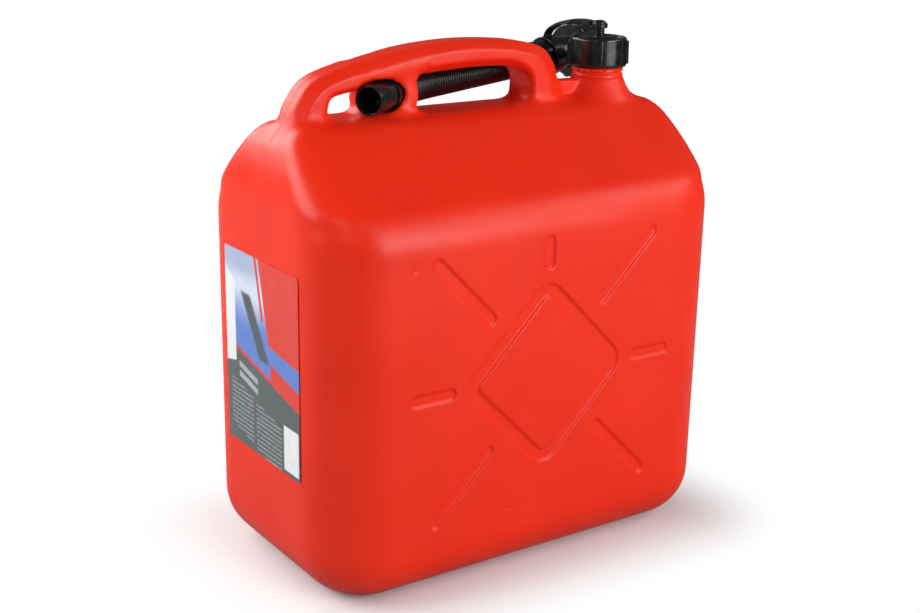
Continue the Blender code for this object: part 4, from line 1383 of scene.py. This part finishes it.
@dataclass
class TetherStrap:
    """The strap: eye, arched band and loop in one flexible piece."""

    paint: Paint
    cap: CapSizes = CAP
    spout: SpoutSizes = SPOUT
    steps: int = 40
    loop_sides: int = 96
    eye_sides: int = 64
    smooth_angle: float = 40.0

    def build(self) -> None:
        """Make the strap between the cap's end and the spout's."""
        c, s, soft = self.cap, self.spout, self.spout.soft
        line = s.hose_line
        loop_centre = Vector(s.nut) - line * s.loop_setback
        inner, half = s.sleeve_radius + c.gap, c.strap_width / 2
        outer = inner + c.strap
        wall = ((inner, half - soft), (inner + soft, half), (outer - soft, half), (outer, half - soft))
        ring = (*wall, *((radius, -level) for radius, level in reversed(wall)), wall[0])
        loop = lathe(ring, "strap_loop", self.loop_sides, aimed(loop_centre, line))
        foot = c.head_foot - c.gap - c.strap
        top, rim = foot + c.strap, foot + c.strap + c.collar
        hole, collar, edge = c.stem_radius + c.gap, c.head_radius + c.gap, c.eye_radius
        ring = (
            (hole, top), (collar, top), (collar, rim - soft), (collar + soft / 2, rim), (edge - soft, rim),
            (edge, rim - soft), (edge, foot + soft), (edge - soft, foot), (hole, foot), (hole, top),
        )
        eye = lathe(ring, "strap_eye", self.eye_sides, standing(c.x))
        up = (UP - line * line.z).normalized()
        band = self.band(loop_centre + up * (inner + c.strap / 2), Vector((c.x, 0, foot + c.strap / 2)), line)
        bm = bmesh.new()
        for part in (loop, eye, band):
            bm.from_mesh(part.data)
            bpy.data.objects.remove(part)
        strap = mesh_object(bm, "tether_strap", self.smooth_angle)
        finish_piece(strap, self.paint, Slot.FITTINGS, "cap_strap")
        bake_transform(strap)

    def band(self, foot: Vector, eye: Vector, line: Vector) -> Object:
        """Sweep the arched band.

        Args:
            foot: Where it leaves the loop.
            eye: Middle of the eye.
            line: The sleeve's direction.

        Returns:
            The band.
        """
        c = self.cap
        flat = Vector((eye.x - foot.x, eye.y - foot.y, 0)).normalized()
        edge = eye - flat * (c.eye_radius + c.head_radius) / 2 + UP * ((c.thickening + c.collar) / 2)
        arch = edge - flat * (edge - foot).xy.length / 2 + UP * c.arch
        handles = (foot, foot + UP * (edge.z - foot.z) * c.rise_share, arch, edge)
        cross = Vector((-flat.y, flat.x, 0))
        cross *= math.copysign(1, cross.dot(line))
        centres, sections, soft = [], [], c.soft
        for t in (k / self.steps for k in range(self.steps + 1)):
            weights = ((1 - t) ** 3, 3 * t * (1 - t) ** 2, 3 * t * t * (1 - t), t ** 3)
            centres.append(sum((h * w for h, w in zip(handles, weights)), Vector()))
            half = c.strap_width / 2 * (1 - c.narrowing * (1 - t))
            thick = (c.band + c.thickening * t) / 2
            side = ((half, soft - thick), (half, thick - soft), (half - soft, thick), (soft - half, thick))
            sections.append((*side, *((-x, -y) for x, y in side)))

        def side_of(k: int, along: Vector) -> Vector:
            """Direction across the band, which turns from the sleeve's to the eye's."""
            side = line.lerp(cross, k / self.steps)
            return side - along * side.dot(along)

        return swept(centres, side_of, sections, "strap_band", self.smooth_angle)


@dataclass
class PouringSpout:
    """The stored spout: nozzle, ribbed hose, sleeve, gasket and union nut."""

    paint: Paint
    sizes: SpoutSizes = SPOUT
    sides: int = 96
    nut_sides: int = 336
    hose_angle: float = 70.0
    nut_angle: float = 32.0

    def path(self) -> tuple[list[Vector], list[float], float]:
        """Centre line of the hose, in so many even steps to each rib.

        Returns:
            Its points, the length run up to each, and the total length.
        """
        s = self.sizes
        bend, first_line, last_line = Vector(s.bend), s.nozzle_line, s.hose_line
        turn, normal = first_line.angle(last_line), first_line.cross(last_line).normalized()
        cut = s.bend_radius * math.tan(turn / 2)
        start = Vector(s.tip) + first_line * (s.nozzle_length - s.nozzle_overlap)
        arc_start, arc_end = bend - first_line * cut, bend + last_line * cut
        end = Vector(s.nut) - last_line * (s.nut_length / 2 + s.sleeve_length - s.sleeve_grip)
        arm = normal.cross(first_line) * s.bend_radius
        first, arc = (arc_start - start).length, s.bend_radius * turn
        total = first + arc + (end - arc_end).length
        steps = round(total / (s.rib_pitch / s.rib_steps))
        runs = [total * k / steps for k in range(steps + 1)]
        points = []
        for run in runs:
            if run <= first:
                points.append(start + first_line * run)
            elif run <= first + arc:
                rotation = Matrix.Rotation((run - first) / s.bend_radius, 3, normal)
                points.append(arc_start + arm + rotation @ -arm)
            else:
                points.append(arc_end + last_line * (run - first - arc))
        return points, runs, total

    def hose(self) -> None:
        """Sweep the ribbed hose with its two plain cuffs."""
        s = self.sizes
        points, runs, total = self.path()
        turns = [2 * math.pi * k / s.hose_sides for k in range(s.hose_sides)]
        sections = []
        for k, run in enumerate(runs):
            cuff = max(s.nozzle_overlap + s.rib_pitch - run, run - (total - s.cuff))
            ribbed = min(max(-cuff / s.rib_pitch, 0), 1)
            off_crest = 2 * (k % s.rib_steps) / s.rib_steps - 1
            radius = s.hose_radius - s.rib_depth * ribbed * off_crest ** 2
            sections.append([(radius * math.cos(turn), radius * math.sin(turn)) for turn in turns])
        hose = swept(points, lambda _, along: UP.cross(along), sections, "ribbed_hose", self.hose_angle)
        finish_piece(hose, self.paint, Slot.FITTINGS, "spout_hose", Body.SPOUT)

    def nozzle(self) -> None:
        """Turn the nozzle with its thin rounded lip."""
        s, soft = self.sizes, self.sizes.soft
        radius, bore, near = s.nozzle_radius, s.nozzle_radius - s.nozzle_wall, s.lip_share * s.soft
        profile = (
            (bore, s.nozzle_length), (radius, s.nozzle_length), (radius, soft), (radius - near, near),
            (radius - soft, 0), (bore + soft, 0), (bore + near, near), (bore, soft), (bore, s.nozzle_length),
        )
        nozzle = lathe(profile, "pouring_nozzle", self.sides, aimed(s.tip, s.nozzle_line))
        finish_piece(nozzle, self.paint, Slot.FITTINGS, "spout_nozzle", Body.SPOUT)

    def coupling(self) -> None:
        """Turn the sleeve, its gasket and the union nut."""
        s, soft, gap, front = self.sizes, self.sizes.soft, CAP.gap, self.sizes.nut_length / 2
        place, end = aimed(s.nut, s.hose_line), -front - s.sleeve_length
        low = s.nut_lip + gap - front
        high = low + s.flange
        bore, sleeve, flange = s.sleeve_radius - s.sleeve_wall, s.sleeve_radius, s.nut_bore - gap
        profile = (
            (bore, high), (flange, high), (flange, low), (sleeve, low),
            *((sleeve - inwards, end + up) for inwards, up in s.sleeve_end), (bore, end), (bore, high),
        )
        collar = lathe(profile, "spout_collar", self.sides, place)
        finish_piece(collar, self.paint, Slot.FITTINGS, "spout_sleeve", Body.SPOUT)
        ring = ring_profile(flange - s.gasket_width, flange, high + gap, high + gap + s.gasket)
        gasket = lathe(ring, "spout_seal", self.sides, place)
        finish_piece(gasket, self.paint, Slot.SEAL, "spout_gasket", Body.SPOUT)
        outer, lip, inside = s.nut_bore + s.nut_wall, sleeve + gap, s.nut_lip - front
        steps = [front - k * soft for k in (1, 2, 3)]
        levels = (*steps, 0, *(-step for step in reversed(steps)))
        profile = (
            (lip, inside), (s.nut_bore, inside), (s.nut_bore, front), (outer - soft, front),
            *((outer, level) for level in levels), (outer - soft, -front), (lip, -front), (lip, inside),
        )
        bm = turned(profile, self.nut_sides)
        trim = s.nut_rib_trim * soft
        heights = (trim - front, front - trim)
        raise_ribs(bm, s.nut_ribs, 0.0, s.nut_rib_width, s.nut_reach - outer, heights, outer - NEAR)
        nut = mesh_object(bm, "union_nut", self.nut_angle, place)
        finish_piece(nut, self.paint, Slot.FITTINGS, "spout_nut", Body.NUT)

    def build(self) -> None:
        """Make the whole spout."""
        self.hose()
        self.nozzle()
        self.coupling()


# Studio


@dataclass(frozen=True)
class Lamp:
    """A soft rectangular lamp that looks at the can."""

    name: str
    place: Triple
    size: Pair
    power: float
    aim: Triple = (0.0, 0.0, 0.2)

    def build(self) -> None:
        """Make the lamp."""
        data = bpy.data.lights.new(self.name, "AREA")
        data.shape = "RECTANGLE"
        data.size, data.size_y = self.size
        data.energy = self.power
        lamp = bpy.data.objects.new(self.name, data)
        bpy.context.scene.collection.objects.link(lamp)
        lamp.location = self.place
        lamp.rotation_mode = "QUATERNION"
        lamp.rotation_quaternion = (Vector(self.aim) - Vector(self.place)).to_track_quat("-Z", "Y")


def mix_shaders(tree: NodeTree, share: NodeSocket, first: NodeSocket, second: NodeSocket, out: Node) -> None:
    """Send a mix of two shaders to an output.

    Args:
        tree: The node tree.
        share: Share of the second.
        first: The first shader.
        second: The second shader.
        out: The output node.
    """
    mix = tree.nodes.new("ShaderNodeMixShader")
    for slot, socket in zip(mix.inputs, (share, first, second)):
        tree.links.new(socket, slot)
    tree.links.new(mix.outputs[0], out.inputs["Surface"])


@dataclass
class Studio:
    """Pale floor, soft lamps and the photograph's camera."""

    azimuth: float = -34.8556
    elevation: float = 17.1961
    roll: float = 1.17574
    focal_px: float = 1441.83
    frame_px: float = 920.0
    sensor: float = 36.0
    distance: float = 1.12587
    target: Triple = (-0.00492, 0.0, 0.17955)
    clips: Pair = (0.05, 50.0)
    floor_half: float = 6.0
    floor_level: float = -0.0005
    floor_tones: Pair = (0.34, 0.86)
    floor_cloud: float = 0.02
    floor_clear: Pair = (0.0, 0.10)
    foot: Pair = (0.150, 0.078)
    world_level: float = 0.11
    lamps: tuple[Lamp, ...] = (
        Lamp("key", (0.60, -1.90, 0.76), (1.3, 1.25), 33.0),
        Lamp("right", (1.30, -0.90, 1.25), (0.8, 0.7), 6.5),
        Lamp("left", (-1.00, 0.28, 0.66), (0.6, 0.6), 6.8),
        Lamp("glint", (-1.30, -1.15, 1.15), (0.30, 0.50), 3.0),
        Lamp("back", (-0.85, 1.62, 1.22), (1.9, 1.3), 38.0),
    )

    def camera(self) -> None:
        """Place the camera at the photograph's angle."""
        a, e, r = map(math.radians, (self.azimuth, self.elevation, self.roll))
        back = Vector((math.sin(a) * math.cos(e), -math.cos(a) * math.cos(e), math.sin(e)))
        right = Vector((math.cos(a), math.sin(a), 0))
        up = back.cross(right)
        across, upward = right * math.cos(r) + up * math.sin(r), up * math.cos(r) - right * math.sin(r)
        data = bpy.data.cameras.new("camera")
        data.sensor_width = self.sensor
        data.lens = self.focal_px / self.frame_px * self.sensor
        data.clip_start, data.clip_end = self.clips
        camera = bpy.data.objects.new("camera", data)
        bpy.context.scene.collection.objects.link(camera)
        place = Matrix((across, upward, back)).transposed().to_4x4()
        place.translation = Vector(self.target) + back * self.distance
        camera.matrix_world = place
        bpy.context.scene.camera = camera

    def floor(self) -> None:
        """Lay a pale floor that turns white to the camera away from the object, where no shadow falls."""
        bm = bmesh.new()
        bmesh.ops.create_grid(bm, x_segments=8, y_segments=8, size=self.floor_half)
        floor = mesh_object(bm, "studio_floor", place=Matrix.Translation((0, 0, self.floor_level)))
        graph = NodeGraph("pale_floor")
        tone = graph.between(graph.noise(3.0, 2.0), 0.3, 0.7)
        seen = graph.node("LightPath", {}).outputs["Is Camera Ray"]
        tints = (((low,) * 3, (low + self.floor_cloud,) * 3) for low in self.floor_tones)
        bounced, shown = (graph.mix(tone, *tint) for tint in tints)
        graph.feed(graph.shader, {"Base Color": graph.mix(seen, bounced, shown), "Roughness": 0.9})
        beyond = []
        for side, half in zip((graph.x, graph.y), self.foot):
            off = graph.math("MAXIMUM", graph.math("SUBTRACT", graph.math("ABSOLUTE", side), half), 0.0)
            beyond.append(graph.math("POWER", off, 2.0))
        far = graph.between(graph.math("SQRT", graph.math("ADD", *beyond)), *self.floor_clear)
        glow = graph.node("Emission", {"Color": WHITE, "Strength": 1.0}).outputs[0]
        white = graph.math("MULTIPLY", far, seen)
        mix_shaders(graph.tree, white, graph.shader.outputs[0], glow, graph.tree.nodes["Material Output"])
        floor.data.materials.append(graph.material)

    def world(self) -> None:
        """Light the room evenly, and show it white to the camera."""
        world = bpy.data.worlds.new("studio")
        world.use_nodes = True
        bpy.context.scene.world = world
        tree = world.node_tree
        room, white = tree.nodes["Background"], tree.nodes.new("ShaderNodeBackground")
        for node, strength in ((room, self.world_level), (white, 1.0)):
            node.inputs["Color"].default_value = WHITE
            node.inputs["Strength"].default_value = strength
        seen = tree.nodes.new("ShaderNodeLightPath").outputs["Is Camera Ray"]
        mix_shaders(tree, seen, room.outputs[0], white.outputs[0], tree.nodes["World Output"])

    def build(self) -> None:
        """Set up the studio."""
        self.camera()
        self.floor()
        self.world()
        for lamp in self.lamps:
            lamp.build()
        bpy.context.scene.view_settings.view_transform = "Standard"


def main() -> None:
    """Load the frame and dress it."""
    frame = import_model()
    counts = [len(frame[key]) for key in ("nodes", "bodies", "joints")]
    LOG.info("nodes %d, bodies %d, joints %d", *counts)
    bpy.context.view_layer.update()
    paint = {
        Slot.CAN: MouldedRed().build(),
        Slot.FITTINGS: BlackPlastic().build(),
        Slot.SEAL: SoftRubber().build(),
        Slot.LABEL: LabelFilm().build(),
    }
    Studio().build()
    for piece in (MouldedCan, NeckFinish, EndLabel, ScrewCap, PouringSpout, TetherStrap):
        piece(paint).build()


if __name__ == "__main__":
    main()
